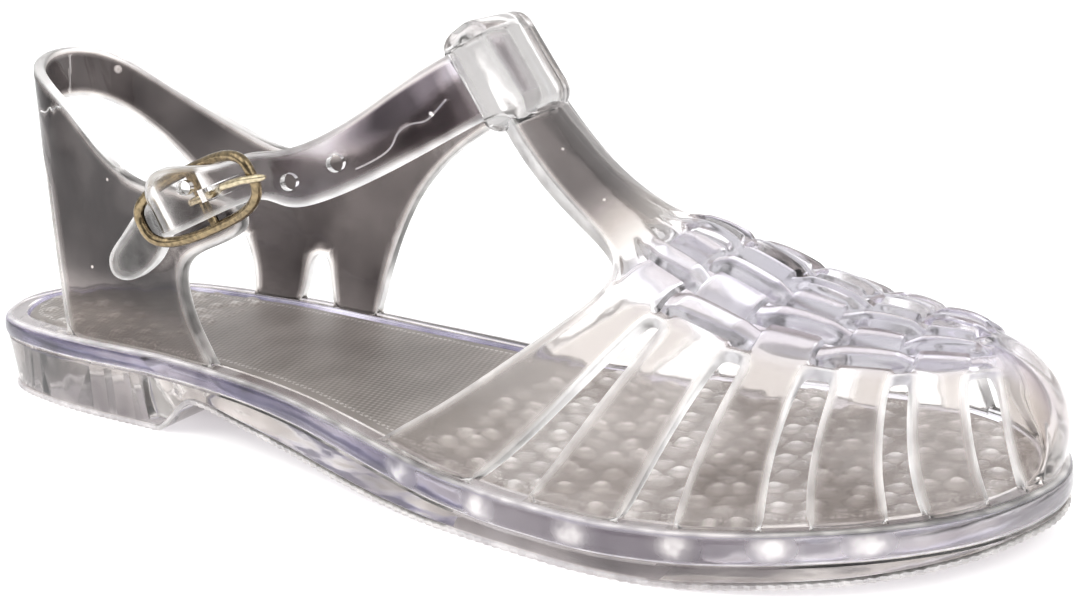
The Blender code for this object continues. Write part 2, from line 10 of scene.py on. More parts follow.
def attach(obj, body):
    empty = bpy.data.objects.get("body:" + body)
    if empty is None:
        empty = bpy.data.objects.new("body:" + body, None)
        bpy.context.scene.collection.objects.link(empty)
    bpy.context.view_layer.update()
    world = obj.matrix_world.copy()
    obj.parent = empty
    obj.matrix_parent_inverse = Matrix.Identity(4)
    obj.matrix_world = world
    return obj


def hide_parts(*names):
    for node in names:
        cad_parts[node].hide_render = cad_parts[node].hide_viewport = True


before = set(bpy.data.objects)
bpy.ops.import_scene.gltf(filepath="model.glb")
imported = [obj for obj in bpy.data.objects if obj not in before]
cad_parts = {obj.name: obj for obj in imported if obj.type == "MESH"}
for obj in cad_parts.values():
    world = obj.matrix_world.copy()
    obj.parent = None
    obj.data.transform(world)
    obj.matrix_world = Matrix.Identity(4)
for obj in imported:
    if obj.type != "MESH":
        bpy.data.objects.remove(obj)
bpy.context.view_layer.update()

# Shared sizes in millimetres, as on the moulded part; X runs heel to toe, +Y is the inner side
MM = 0.001
CENTRE_X = 125.0
CENTRE_Y = -1.27
GAP = 0.3
RIM_WIDTH = 5.3
RECESS_DEPTH = 2.6
UPPER_INSET = 2.0
# The feet of the upper are welded this deep into the sole
FOOT_SINK = 0.3
# Corners of the rear walls below this height are feet
FOOT_LEVEL = 22.0

# Sole from heel to toe: x, outer and inner half width, rim height, clearance below, depth of the rim band
SOLE_SECTIONS = (
    (2.0, 7.8, 7.2, 17.4, 0.0, 4.6),
    (10.0, 17.8, 17.3, 17.5, 0.0, 4.6),
    (30.0, 23.6, 25.0, 17.6, 0.0, 4.6),
    (62.0, 25.6, 26.6, 17.6, 0.0, 4.6),
    (75.0, 27.0, 26.2, 17.4, 8.4, 4.5),
    (90.0, 29.2, 25.3, 17.0, 6.4, 4.6),
    (105.0, 32.0, 25.3, 16.2, 4.3, 4.9),
    (120.0, 35.6, 27.0, 14.7, 2.3, 5.2),
    (135.0, 38.9, 30.2, 12.6, 0.7, 5.5),
    (148.0, 41.3, 34.0, 10.9, 0.0, 5.7),
    (165.0, 43.8, 38.6, 10.0, 0.0, 5.8),
    (180.0, 45.2, 41.6, 10.0, 0.0, 5.8),
    (192.0, 44.6, 42.6, 10.3, 0.0, 5.8),
    (205.0, 42.0, 42.3, 10.9, 0.8, 5.7),
    (225.0, 33.4, 37.8, 12.2, 2.4, 5.6),
    (240.0, 20.2, 29.0, 12.6, 4.0, 5.5),
    (247.5, 6.6, 17.6, 12.7, 4.9, 5.5),
)
# Quads of the sole's and footbed's faces: along the shoe, across it
SOLE_GRID = (240, 40)
BED_GRID = (300, 90)
# The footbed lies this far below the rim
BED_DROP = 0.5
HEEL_BACK = (0.0, 0.0)
TOE_TIP = (250.0, 5.6)
# The heel's walls lean in, most at the back and no more from here on
HEEL_FRONT = 62.0

# Vamp lines, rear to toe: place in the rib order, rim x, ridge x, ridge z
VAMP_LINES = (
    (0.0, 129.4, 181.4, 51.6),
    (1.0, 154.2, 188.0, 48.7),
    (2.0, 166.1, 189.6, 48.1),
    (3.0, 186.7, 199.4, 43.9),
    (4.0, 196.1, 202.4, 43.0),
    (5.0, 211.9, 210.9, 40.8),
    (6.0, 218.4, 215.3, 39.9),
    (7.0, 230.8, 223.0, 38.8),
    (8.0, 235.8, 225.4, 38.6),
    (9.0, 243.6, 233.2, 37.8),
    (10.0, 247.4, 236.6, 37.2),
    (11.0, 248.0, 242.6, 34.9),
    (12.0, 248.5, 247.8, 29.0),
    (13.0, 248.9, 250.6, 21.0),
    (14.0, 249.2, 248.2, 12.9),
)
RIB_COUNT = 5
# Columns round the vamp, from the outer rim over the ridge to the inner rim
COLUMN_ANGLES = (0, 12, 25, 39, 52, 58.5, 65, 71.5, 78, 84, 90,
                 96, 102, 108.5, 115, 121.5, 128, 141, 155, 168, 180)
WEAVE_FIRST = 4
WEAVE_LAST = 16
# Strands that run along the ridge, over one rib and under the next
STRANDS = 8
STRAND_ANGLES = (54.5, 125.5)
STRAND_SHARE = 0.74
STRAND_LIFT = 1.25
RIB_LIFT = 0.75
WEAVE_HOLLOW = -1.5
RIDGE_Y = 4.5
# How a rib sweeps forward and arches over, as powers of the sine and cosine
RIB_SWEEP = 0.85
RIB_ARCH = 1.1
RIB_WALL = 2.6
WEAVE_WALL = 3.2
BAR_WALL = 4.2
STRAP_WALL = 2.6

# T-bar stations, vamp to sleeve: x, z, half width, drop of the edges, set-back of the edges
BAR_STATIONS = (
    (174.2, 53.8, 14.8, 5.4, 2.0),
    (166.4, 57.4, 12.6, 3.4, 2.0),
    (159.4, 62.4, 12.0, 2.4, 2.4),
    (153.2, 69.0, 11.6, 1.6, 2.8),
    (148.6, 75.0, 10.6, 1.2, 2.6),
    (144.0, 81.0, 9.6, 1.0, 2.0),
)
BAR_Y = 0.8
SLEEVE_SIZE = (11.2, 22.0, 21.8)
SLEEVE_LEAN = math.radians(34.0)
SLEEVE_CENTRE = (140.9, 0.0, 78.8)
SLEEVE_ROUND = 4.0

# The rear walls face away from this point
SHOE_MIDDLE = (80.0, 0.0, 50.0)
# Outer quarter, rear edge to front edge: foot x, then the top line's x, y, z, and the hollow of the front
LATERAL_QUARTER = (
    (34.6, 27.6, -16.4, 75.0, -0.2),
    (44.0, 38.0, -18.4, 69.2, 0.0),
    (52.5, 47.0, -20.6, 62.2, 0.0),
    (61.5, 55.5, -22.2, 56.6, 0.4),
    (71.0, 64.0, -23.4, 54.2, 2.4),
    (82.0, 74.5, -24.8, 54.4, 4.6),
)
QUARTER_STEPS = (0.0, 0.2, 0.4, 0.62, 0.83, 1.0)
TAB_ROWS = (
    (84.0, -26.1, 43.6, 49.6, 55.0),
    (94.0, -27.3, 48.0, 51.0, 54.0),
)
# Sling, inner saddle and ankle strap, station by station: lower edge, then upper edge
SLING_STATIONS = (
    (23.4, -12.6, 66.2, 23.0, -12.2, 76.8),
    (20.0, -6.6, 67.2, 19.8, -6.4, 78.2),
    (19.0, 0.6, 67.4, 18.8, 0.6, 78.6),
    (20.2, 8.0, 66.6, 20.2, 7.6, 78.0),
    (24.6, 14.2, 63.4, 26.0, 13.2, 75.6),
    (32.4, 18.6, 57.0, 36.6, 17.2, 69.0),
    (40.4, 21.6, 47.0, 49.0, 19.8, 62.2),
    (49.4, 23.8, 35.6, 60.6, 21.6, 56.4),
)
SADDLE_STATIONS = (
    (50.8, 24.2, 32.4, 65.0, 22.6, 54.6),
    (59.0, 24.9, 31.8, 71.0, 23.4, 53.8),
    (70.2, 25.2, 29.6, 77.0, 24.0, 54.2),
    (75.2, 25.2, 29.8, 82.6, 24.4, 55.4),
    (84.2, 24.9, 33.0, 87.4, 24.5, 57.0),
    (96.0, 24.6, 35.4, 92.0, 24.4, 59.0),
)
LEG_FEET = (51.4, 59.0, 66.8, 76.8, 83.2, 89.8)
LEG_WAIST = (53.2, 60.8, 69.0, 75.8, 83.2, 92.6)
STRAP_STATIONS = (
    (102.0, 24.0, 46.0, 97.8, 23.8, 61.0),
    (112.6, 21.4, 55.8, 106.0, 21.8, 67.2),
    (125.0, 16.8, 63.2, 118.2, 17.4, 75.0),
    (143.0, 10.4, 71.9, 135.8, 10.4, 84.3),
    (144.2, 0.0, 72.9, 137.0, 0.0, 85.2),
    (143.0, -10.4, 71.9, 135.8, -10.4, 84.3),
    (134.0, -16.6, 66.2, 127.4, -16.8, 78.6),
    (124.6, -21.2, 60.8, 119.8, -21.0, 72.4),
    (116.0, -25.0, 56.6, 112.0, -24.8, 67.6),
    (107.4, -28.0, 53.6, 104.4, -27.8, 65.0),
)
TUNNEL_STATIONS = STRAP_STATIONS[1:9]
# Strap through the buckle: along the buckle, stand-off, reach down and up
BUCKLE_PASS = (
    (15.0, 29.0, 4.8, 4.8),
    (10.0, 31.2, 4.2, 4.1),
    (5.0, 34.8, 4.5, 6.2),
    (0.0, 36.6, 4.7, 8.2),
    (-5.0, 36.2, 4.7, 8.0),
    (-9.5, 34.4, 4.5, 5.6),
    (-13.0, 30.9, 3.6, 3.2),
    (-16.5, 28.8, 5.0, 4.6),
)
# Rounded free end of the strap: lower edge, middle, upper edge
STRAP_END = (
    ((72.0, -29.0, 40.4), (68.4, -28.9, 44.2), (64.8, -28.8, 48.0)),
    ((68.8, -28.8, 38.0), (65.0, -28.7, 41.0), (61.5, -28.5, 44.3)),
    ((63.2, -28.4, 34.4), (56.4, -28.2, 34.8), (56.8, -28.1, 40.2)),
)
# Punched holes: centre and radius
STRAP_HOLES = (
    (107.0, -27.5, 59.5, 1.7),
    (115.9, -24.0, 63.2, 1.7),
    (87.4, -35.6, 58.4, 1.5),
)
HOLE_DEPTH = 7.0
HOLE_DIRECTION = (0.35, -1.0, 0.12)
# Slot for the prong: along the buckle, stand-off, length, width
PRONG_SLOT = (9.0, 31.6, 9.0, 2.6)
SLOT_DEPTH = 9.0

BUCKLE_X = 86.5
BUCKLE_Z = 54.9
BUCKLE_TILT = math.radians(23.6)
BUCKLE_LEAN = -0.09
BUCKLE_HALF_LENGTH = 16.4
BUCKLE_HALF_HEIGHT = 6.3
BUCKLE_SQUARENESS = 0.68
BUCKLE_BOW = 2.2
BUCKLE_STEPS = 120
BUCKLE_WIRE = 1.1
BAR_WIRE = 0.99
BAR_OUT = 29.4
PRONG_WIRE = 0.8
# The tongue's hook goes this many degrees round the bar
HOOK_WRAP = 205
# Tongue past its hook: along the buckle, stand-off, drop
PRONG_PATH = (
    (4.6, 30.2, 0.0),
    (7.4, 32.0, 0.0),
    (10.0, 33.6, 0.0),
    (12.6, 34.2, -0.2),
    (15.6, 34.1, -0.5),
    (18.6, 33.9, -1.2),
    (21.2, 33.6, -1.8),
)
# Air bubbles caught in the straps and in the T-bar: centre and radius
STRAP_BUBBLES = (
    (25.7, 11.2, 72.4, 1.0),
    (132.2, -14.2, 72.3, 0.4),
    (51.9, -20.4, 54.3, 0.4),
    (44.7, -20.7, 34.2, 0.4),
)
BAR_BUBBLES = (
    (154.2, -3.4, 64.5, 0.4),
    (164.0, -5.0, 55.7, 0.4),
)
# Raised weld lines where the vinyl met in the mould: brightness of their painted glow, then points along the
# surface
WELD_LINES = (
    (1.6, ((29.2, -16.8, 67.1), (31.6, -17.5, 66.9), (33.3, -17.8, 68.6), (34.0, -18.0, 67.3),
           (35.5, -18.1, 68.8), (37.3, -18.4, 68.5))),
    (0.5, ((119.8, -22.6, 62.2), (120.7, -22.3, 62.5), (124.3, -20.6, 64.4), (126.5, -19.5, 66.3),
           (127.2, -18.6, 69.1), (129.4, -17.3, 70.7), (132.1, -16.1, 70.9), (133.6, -14.9, 72.7),
           (135.2, -13.3, 75.0))),
    (0.5, ((21.8, 0.4, 76.9), (21.9, -0.4, 72.2), (21.8, -1.2, 68.0))),
)
WELD_RADIUS = 0.16
# Brightness of the painted glow of the bubbles, higher in the darker rear walls
BUBBLE_SHINE = 8.0
BAR_BUBBLE_SHINE = 4.0
# Swells of the rim on the outer side, one between two ribs; each carries a painted highlight spot
RIM_SWELLS = (139.0, 158.0, 178.0, 198.0, 213.0, 227.0)
SWELL_REACH = 2.4
# Fluted hollow under the heel, a rounded block that narrows upwards
CORE_X = 32.5
CORE_HALF_LENGTH = 22.5
CORE_WALL = 5.6
CORE_FLUTE = 1.6
CORE_TOP = 10.5
CORE_TAPER = 0.92
CORE_SQUARENESS = 0.6
# Pimples of the footbed, on the heel seat and on the tread
PIMPLE_HEIGHT = 1.0
PIMPLE_PITCH = 5.6
PIMPLE_STRAY = 0.9
PIMPLE_RADIUS = 2.3
HEEL_SEAT_END = 58.0
TREAD_START = 138.0

# Numbers painted on the clear pieces for their material to read; rim is frosting and also the strength of a
# painted glow
PAINTED_NAMES = ("smoke", "violet", "rim")
# Where the saddle and quarter end and the ankle strap begins
STRAP_START = 92.0
# How much smoke the clear vinyl shows in each wall, from none to deep: its grey tint, deepened as painted
# shade in the rear walls and saddle where a dark room shows through, and changed as painted reflections at
# the T-bar's root, the toe cap and the strap's free end
SMOKE_AND_SHADE_REAR = 1.0
SMOKE_AND_SHADE_SADDLE = 0.92
SMOKE_REAR_FOOT = 0.5
SMOKE_STRAP = 0.72
SMOKE_STRAP_NEAR = 0.19
SMOKE_AND_SHEEN_FREE_END = 0.14
SMOKE_BULGE = 0.22
SMOKE_BAR = 0.82
SMOKE_AND_SHEEN_BAR_ROOT = 0.3
SMOKE_RIB = 0.24
SMOKE_WEAVE = 0.06
SMOKE_AND_REFLECTION_TOE = 0.38
SMOKE_SLEEVE = 0.16
SMOKE_SOLE = 0.54
SMOKE_RIM = 0.42
# Width of the pale frosted line along every free edge, and along the broad edges of the quarter and strap;
# the line is a painted highlight, paler and glowing
EDGE_WIDTH = 1.1
BROAD_EDGE = 1.7
# Haze and painted glow of the thick, uneven places: none at 0, frosted at 1; the same number lights the place
# with a painted glow
HAZE_AND_GLOW_BULGE = 0.1
HAZE_AND_GLOW_STRAP = 0.2
HAZE_AND_GLOW_FREE_END = 0.3
HAZE_AND_GLOW_SLEEVE = 0.1
HAZE_AND_GLOW_HOLE = 0.6
VINYL_SMOKE = (
    (0.0, (0.93, 0.93, 0.94)),
    (0.3, (0.68, 0.64, 0.615)),
    (0.5, (0.44, 0.395, 0.37)),
    (0.7, (0.2, 0.175, 0.17)),
    (1.0, (0.03, 0.025, 0.025)),
)
CANVAS_SMOKE = (
    (0.2, (0.2, 0.18, 0.165)),
    (0.55, (0.42, 0.385, 0.36)),
    (0.95, (0.85, 0.82, 0.79)),
)
# The canvas grain is full behind the first place along the shoe and gone past the second
CANVAS_FADE = (124.0, 140.0)
CANVAS_TURN = math.radians(32.0)
CANVAS_PITCH = 1.6
# Dotted line pressed into the footbed, from the sole's outline
STITCH_INSET = 8.4
STITCH_HALF_WIDTH = 0.55
VINYL_IOR = 1.5
LIGHT_BOUNCES = 24
# Strength of the painted glow, an emission, on pale edges, weld lines, bubbles and the rim's spots
EDGE_GLOW = 0.17
SKY_LEVEL = 0.78
LAMP_AIM = (0.0, 0.0, 0.03)
# Soft patches of the studio sky: direction, cosine where it begins and where it is full, strength
SKY_PATCHES = (
    ((-0.35, -0.55, 0.75), 0.82, 0.96, 1.6),
    ((0.75, -0.2, 0.6), 0.84, 0.97, 1.4),
    ((0.35, -0.9, 0.2), 0.45, 0.9, -0.45),
)

# The photograph's camera, read from the photograph: turn, height, roll, distance and aim
VIEW_TURN = math.radians(31.3)
VIEW_RISE = math.radians(16.13)
VIEW_ROLL = math.radians(-1.9)
VIEW_DISTANCE = 0.32705
VIEW_AIM = (146.43, 0.0, 33.39)
VIEW_LENS = 54.64


def place(point):
    return Vector(((point[0] - CENTRE_X) * MM, (point[1] - CENTRE_Y) * MM, point[2] * MM))


def hermite(t, start, end, leave, arrive):
    """Cubic between two values with the slopes given at its ends."""
    near = (1.0 + 2.0 * t) * (1.0 - t) ** 2 * start + t * (1.0 - t) ** 2 * leave
    return near + t * t * (3.0 - 2.0 * t) * end + t * t * (t - 1.0) * arrive


def smooth_curve(xs, ys):
    """Monotone cubic through a table's rows."""
    xs = np.asarray(xs, dtype=float)
    ys = np.asarray(ys, dtype=float)
    step = np.diff(xs)
    slope = np.diff(ys) / step
    tangent = np.zeros_like(ys)
    for i in range(1, len(xs) - 1):
        if slope[i - 1] * slope[i] > 0.0:
            a = 2.0 * step[i] + step[i - 1]
            b = step[i] + 2.0 * step[i - 1]
            tangent[i] = (a + b) / (a / slope[i - 1] + b / slope[i])
    tangent[0] = slope[0]
    tangent[-1] = slope[-1]

    def value(x):
        x = min(max(x, xs[0]), xs[-1])
        i = min(int(np.searchsorted(xs, x, side="right")) - 1, len(xs) - 2)
        t = (x - xs[i]) / step[i]
        return hermite(t, ys[i], ys[i + 1], step[i] * tangent[i], step[i] * tangent[i + 1])

    return value


SECTION_X = [row[0] for row in SOLE_SECTIONS]
rim_height = smooth_curve(SECTION_X, [row[3] for row in SOLE_SECTIONS])
under_height = smooth_curve(SECTION_X, [row[4] for row in SOLE_SECTIONS])
band_depth = smooth_curve(SECTION_X, [row[5] for row in SOLE_SECTIONS])


def below_rim(drop):
    return lambda x: rim_height(x) - drop


def sole_outline():
    """Closed plan curve of the sole as a dense loop, heel back first, then the outer side."""
    lateral = [(row[0], -row[1]) for row in SOLE_SECTIONS]
    medial = [(row[0], row[2]) for row in reversed(SOLE_SECTIONS)]
    knots = np.array([HEEL_BACK] + lateral + [TOE_TIP] + medial)
    count = len(knots)
    gaps = np.sqrt(np.linalg.norm(np.roll(knots, -1, axis=0) - knots, axis=1))
    points = []
    for i in range(count):
        p0, p1, p2, p3 = (knots[(i + k) % count] for k in (-1, 0, 1, 2))
        d0, d1, d2 = gaps[i - 1], gaps[i], gaps[(i + 1) % count]
        m1 = (p1 - p0) / d0 - (p2 - p0) / (d0 + d1) + (p2 - p1) / d1
        m2 = (p2 - p1) / d1 - (p3 - p1) / (d1 + d2) + (p3 - p2) / d2
        for t in np.linspace(0.0, 1.0, 24, endpoint=False):
            points.append(hermite(t, p1, p2, d1 * m1, d1 * m2))
    return np.array(points)


OUTLINE = sole_outline()
AHEAD = np.roll(OUTLINE, -1, axis=0) - np.roll(OUTLINE, 1, axis=0)
AHEAD /= np.linalg.norm(AHEAD, axis=1)[:, None]
OUTWARD = np.stack([AHEAD[:, 1], -AHEAD[:, 0]], axis=1)
TIP_INDEX = int(OUTLINE[:, 0].argmax())


def rim_point(x, side, inset):
    """Point on the sole's plan at x on the outer (-1) or inner (+1) side, moved in by inset."""
    lateral = np.arange(len(OUTLINE)) <= TIP_INDEX
    keep = lateral if side < 0 else ~lateral
    index = int((np.abs(OUTLINE[:, 0] - x) + np.where(keep, 0.0, 1e6)).argmin())
    return OUTLINE[index] - OUTWARD[index] * inset


def new_object(name, data):
    obj = bpy.data.objects.new(name, data)
    bpy.context.scene.collection.objects.link(obj)
    return obj


def object_from(name, bm):
    mesh = bpy.data.meshes.new(name)
    bm.to_mesh(mesh)
    bm.free()
    return new_object(name, mesh)


def solid_at(name, bm, spot, turn=None):
    """Turn a fresh solid and move it to its place."""
    if turn is not None:
        bmesh.ops.rotate(bm, cent=Vector(), matrix=turn, verts=bm.verts)
    bmesh.ops.translate(bm, vec=place(spot), verts=bm.verts)
    bmesh.ops.recalc_face_normals(bm, faces=bm.faces)
    return object_from(name, bm)


def bake(obj):
    """Replace an object by the mesh that its modifiers, or its curve's tube, give."""
    bpy.context.view_layer.update()
    graph = bpy.context.evaluated_depsgraph_get()
    mesh = bpy.data.meshes.new_from_object(obj.evaluated_get(graph))
    name = obj.name
    bpy.data.objects.remove(obj, do_unlink=True)
    mesh.name = name
    return new_object(name, mesh)


def combine(obj, other, operation):
    """Join or cut a solid with another one, which is used up."""
    step = obj.modifiers.new(operation.lower(), "BOOLEAN")
    step.operation = operation
    step.solver = "EXACT"
    step.object = other
    solid = bake(obj)
    carry_paint(solid.data, other.data)
    bpy.data.objects.remove(other, do_unlink=True)
    return solid


def carry_paint(mesh, donor):
    """Copy the numbers painted on another solid to the vertices that came from it."""
    index_of = {spot.tobytes(): index for index, spot in enumerate(spots_of(donor))}
    source = np.array([index_of.get(spot.tobytes(), -1) for spot in spots_of(mesh)])
    came = source >= 0
    for name in PAINTED_NAMES:
        if name in mesh.attributes:
            given = painted(donor, name) if name in donor.attributes else np.zeros(len(donor.vertices))
            values = painted(mesh, name)
            values[came] = given[source[came]]
            paint(mesh, name, values)


def finish_piece(obj, node, mat, degrees=40.0):
    """Smooth a piece up to the angle given, dress it, hang it on the root body and hide its CAD node."""
    obj.data.shade_smooth()
    obj.data.set_sharp_from_angle(angle=math.radians(degrees))
    obj.data.materials.clear()
    obj.data.materials.append(mat)
    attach(obj, "root")
    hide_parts(node)


class Stations:
    """Even stations round the sole's outline and the grid of quads that fills it."""

    def __init__(self, along, across):
        self.along = along
        self.across = across
        self.count = 2 * (along + across)
        half = self.count // 2
        reach = np.concatenate([[0.0], np.cumsum(np.linalg.norm(np.diff(OUTLINE, axis=0), axis=1))])
        total = reach[-1] + np.linalg.norm(OUTLINE[0] - OUTLINE[-1])
        tip = reach[TIP_INDEX]
        steps = np.concatenate([np.linspace(0.0, tip, half, endpoint=False),
                                np.linspace(tip, total, half, endpoint=False)])
        closed = np.concatenate([reach, [total]])

        def spread(loop):
            return np.stack([np.interp(steps, closed, np.append(loop[:, k], loop[0, k])) for k in (0, 1)], 1)

        self.xy = spread(OUTLINE)
        out = spread(OUTWARD)
        self.out = out / np.linalg.norm(out, axis=1)[:, None]

    def point(self, station, inset):
        k = station % self.count
        return self.xy[k] - self.out[k] * inset

    def border(self, i, j):
        """Station of a grid place on the border, or None inside."""
        start = self.across // 2
        if j == 0:
            return (start + i) % self.count
        if i == self.along:
            return (start + self.along + j) % self.count
        if j == self.across:
            return (start + self.along + self.across + self.along - i) % self.count
        if i == 0:
            return (start - j) % self.count
        return None

    def fill(self, bm, layer, inset, height):
        """Grid stretched between the four runs of the border, at the height given for each x and y."""
        made = bmesh.ops.create_grid(bm, x_segments=self.along, y_segments=self.across, size=0.5)
        edge = np.array([self.point(k, inset) for k in range(self.count)])
        low = edge[[self.border(i, 0) for i in range(self.along + 1)]]
        high = edge[[self.border(i, self.across) for i in range(self.along + 1)]]
        rear = edge[[self.border(0, j) for j in range(self.across + 1)]]
        front = edge[[self.border(self.along, j) for j in range(self.across + 1)]]
        for vert in made["verts"]:
            i = round((vert.co.x + 0.5) * self.along)
            j = round((vert.co.y + 0.5) * self.across)
            u = i / self.along
            v = j / self.across
            corners = (1.0 - u) * ((1.0 - v) * rear[0] + v * rear[-1])
            corners = corners + u * ((1.0 - v) * front[0] + v * front[-1])
            xy = (1.0 - v) * low[i] + v * high[i] + (1.0 - u) * rear[j] + u * front[j] - corners
            station = self.border(i, j)
            vert[layer] = -1 if station is None else station
            vert.co = place((xy[0], xy[1], height(xy[0], xy[1])))
        return made["verts"]

    def level_border(self, verts, layer, height):
        """Set the height of a grid's border from its stations, as the rings do."""
        for vert in verts:
            if vert[layer] >= 0:
                vert.co.z = height(self.xy[vert[layer]][0]) * MM

    def raise_ring(self, bm, layer, edges, inset, height, tints=()):
        """Extrude a ring of border edges to a new inset and height; gives the new ring's edges."""
        made = bmesh.ops.extrude_edge_only(bm, edges=edges)["geom"]
        for vert in (g for g in made if isinstance(g, bmesh.types.BMVert)):
            station = vert[layer]
            x = self.xy[station][0]
            xy = self.point(station, inset(x, station))
            vert.co = place((xy[0], xy[1], height(x)))
            for tint, value in tints:
                vert[tint] = value(x, station) if callable(value) else value
        return [g for g in made if isinstance(g, bmesh.types.BMEdge)
                and g.verts[0][layer] >= 0 and len(g.link_faces) == 1]


def build_sole(mat):
    ring = Stations(*SOLE_GRID)
    bm = bmesh.new()
    layer = bm.verts.layers.int.new("station")
    frost_and_glow_layer = bm.verts.layers.float.new("rim")
    violet_layer = bm.verts.layers.float.new("violet")
    smoke_layer = bm.verts.layers.float.new("smoke")

    def taper(x):
        return max(0.0, 1.0 - x / HEEL_FRONT)

    def tooth(inset):
        return lambda x, station: inset + taper(x) - 0.4 * (station % 2)

    def lower(share):
        return lambda x: under_height(x) + share * (rim_height(x) - band_depth(x) - under_height(x))

    def band(share, lift=0.0):
        return lambda x: rim_height(x) - band_depth(x) * share + lift

    def swollen(x, station):
        """One at the middle of each swell of the rim band, on the outer side only."""
        if station >= ring.count // 2:
            return 0.0
        return sum(math.exp(-((x - centre) / SWELL_REACH) ** 2) for centre in RIM_SWELLS)

    def swell(depth, share):
        return lambda x, station: depth - share * swollen(x, station)

    def flat(depth):
        return lambda x, station: depth

    def rim_smoke(x, station):
        return SMOKE_RIM + 0.26 * min(1.0, max(0.0, (160.0 - x) / 50.0))

    def violet_cast(x, station):
        """Strong along the heel and arch, weaker round the toe."""
        return min(1.0, max(0.4, 1.0 - (x - 125.0) / 70.0))

    # Painted highlights: bright spots on the rim's swells, which feed the emission glow through the rim
    # number
    def spot(share):
        return lambda x, station: min(5.0, share * swollen(x, station))

    bottom = ring.fill(bm, layer, 1.7, lambda x, y: under_height(x))
    edges = [e for e in bm.edges if e.is_boundary]
    # Each ring from the foot up: inset, height, frosting and painted glow, violet cast, smoke; the glow
    # paints the bright lip at the foot, bright lines on the band and the spots on the swells
    profile = (
        (tooth(0.95), lambda x: under_height(x) + 0.1, 0.7, 0.0, 0.3),
        (tooth(0.6), lambda x: under_height(x) + 0.5, 1.3, 0.0, 0.15),
        (tooth(0.65), lambda x: under_height(x) + 1.1, 1.6, 0.0, 0.1),
        (lambda x, k: 0.95 + taper(x), lambda x: under_height(x) + 1.4, 0.4, 0.0, 0.4),
        (lambda x, k: 0.85 + taper(x), lambda x: under_height(x) + 1.7, 0.0, 0.0, SMOKE_SOLE),
        (lambda x, k: 0.65 + 0.5 * taper(x), lower(0.65), 0.0, 0.0, SMOKE_SOLE),
        (flat(0.6), band(1.0, -0.5), 0.0, 0.0, SMOKE_SOLE),
        (flat(0.95), band(1.0, -0.15), 0.3, 0.0, 0.3),
        (flat(0.95), band(1.0, 0.05), 0.5, 0.0, 0.2),
        (swell(0.4, 0.1), band(1.0, 0.4), 2.6, 0.3, 0.05),
        (swell(0.2, 0.3), band(1.0, 0.8), 0.0, violet_cast, rim_smoke),
        (swell(0.08, 0.75), band(0.75), spot(1.5), violet_cast, rim_smoke),
        (swell(0.0, 1.0), band(0.55), spot(4.5), violet_cast, rim_smoke),
        (swell(0.08, 0.75), band(0.36), spot(6.0), violet_cast, rim_smoke),
        (swell(0.25, 0.3), below_rim(0.9), spot(3.0), violet_cast, rim_smoke),
        (swell(0.5, 0.1), below_rim(0.45), 0.5, 0.5, 0.2),
        (flat(1.0), below_rim(0.12), 2.8, 0.1, 0.0),
        (flat(1.7), below_rim(0.0), 0.6, 0.0, 0.1),
        (flat(2.4), below_rim(0.0), 0.0, 0.0, 0.3),
        (flat(RIM_WIDTH - 0.4), below_rim(0.0), 0.2, 0.0, 0.3),
        (flat(RIM_WIDTH), below_rim(0.3), 0.6, 0.0, 0.1),
        (flat(RIM_WIDTH + 0.2), below_rim(RECESS_DEPTH), 0.0, 0.0, 0.35),
    )
    for inset, height, frost_and_glow, violet, smoke in profile:
        tints = ((frost_and_glow_layer, frost_and_glow), (violet_layer, violet), (smoke_layer, smoke))
        edges = ring.raise_ring(bm, layer, edges, inset, height, tints)
    floor = ring.fill(bm, layer, RIM_WIDTH + 0.2, lambda x, y: rim_height(x) - RECESS_DEPTH)
    ring.level_border(floor, layer, below_rim(RECESS_DEPTH))
    for vert in bottom + floor:
        vert[smoke_layer] = 0.35
    bmesh.ops.remove_doubles(bm, verts=bm.verts, dist=2e-6)
    bmesh.ops.recalc_face_normals(bm, faces=bm.faces)
    sole = combine(object_from("sole_body", bm), heel_core(), "DIFFERENCE")
    finish_piece(sole, "sole", mat, 35.0)


def heel_core():
    """Solid that cuts the fluted hollow under the heel."""
    core = bmesh.new()
    made = bmesh.ops.create_circle(core, cap_ends=True, segments=36, radius=1.0)
    for vert in made["verts"]:
        turn = math.atan2(vert.co.y, vert.co.x)
        flute = CORE_FLUTE * (round(turn / math.radians(10.0)) % 2)
        vert.co = place(core_point(turn, CORE_WALL + flute, -2.0))
    cap = bmesh.ops.extrude_face_region(core, geom=core.faces[:])["geom"]
    for vert in (g for g in cap if isinstance(g, bmesh.types.BMVert)):
        x = vert.co.x / MM + CENTRE_X
        y = vert.co.y / MM + CENTRE_Y
        vert.co = place((CORE_X + (x - CORE_X) * CORE_TAPER, y * CORE_TAPER, CORE_TOP))
    bmesh.ops.recalc_face_normals(core, faces=core.faces)
    return object_from("heel_core", core)


def core_point(turn, inset, z):
    """Point of the heel core's wall: a rounded block that follows the heel at an inset."""
    c, s = math.cos(turn), math.sin(turn)
    x = CORE_X + CORE_HALF_LENGTH * math.copysign(abs(c) ** CORE_SQUARENESS, c)
    side = -1 if s < 0.0 else 1
    edge = rim_point(max(x, 10.0), side, inset)
    return (x, edge[1] * abs(s) ** CORE_SQUARENESS, z)


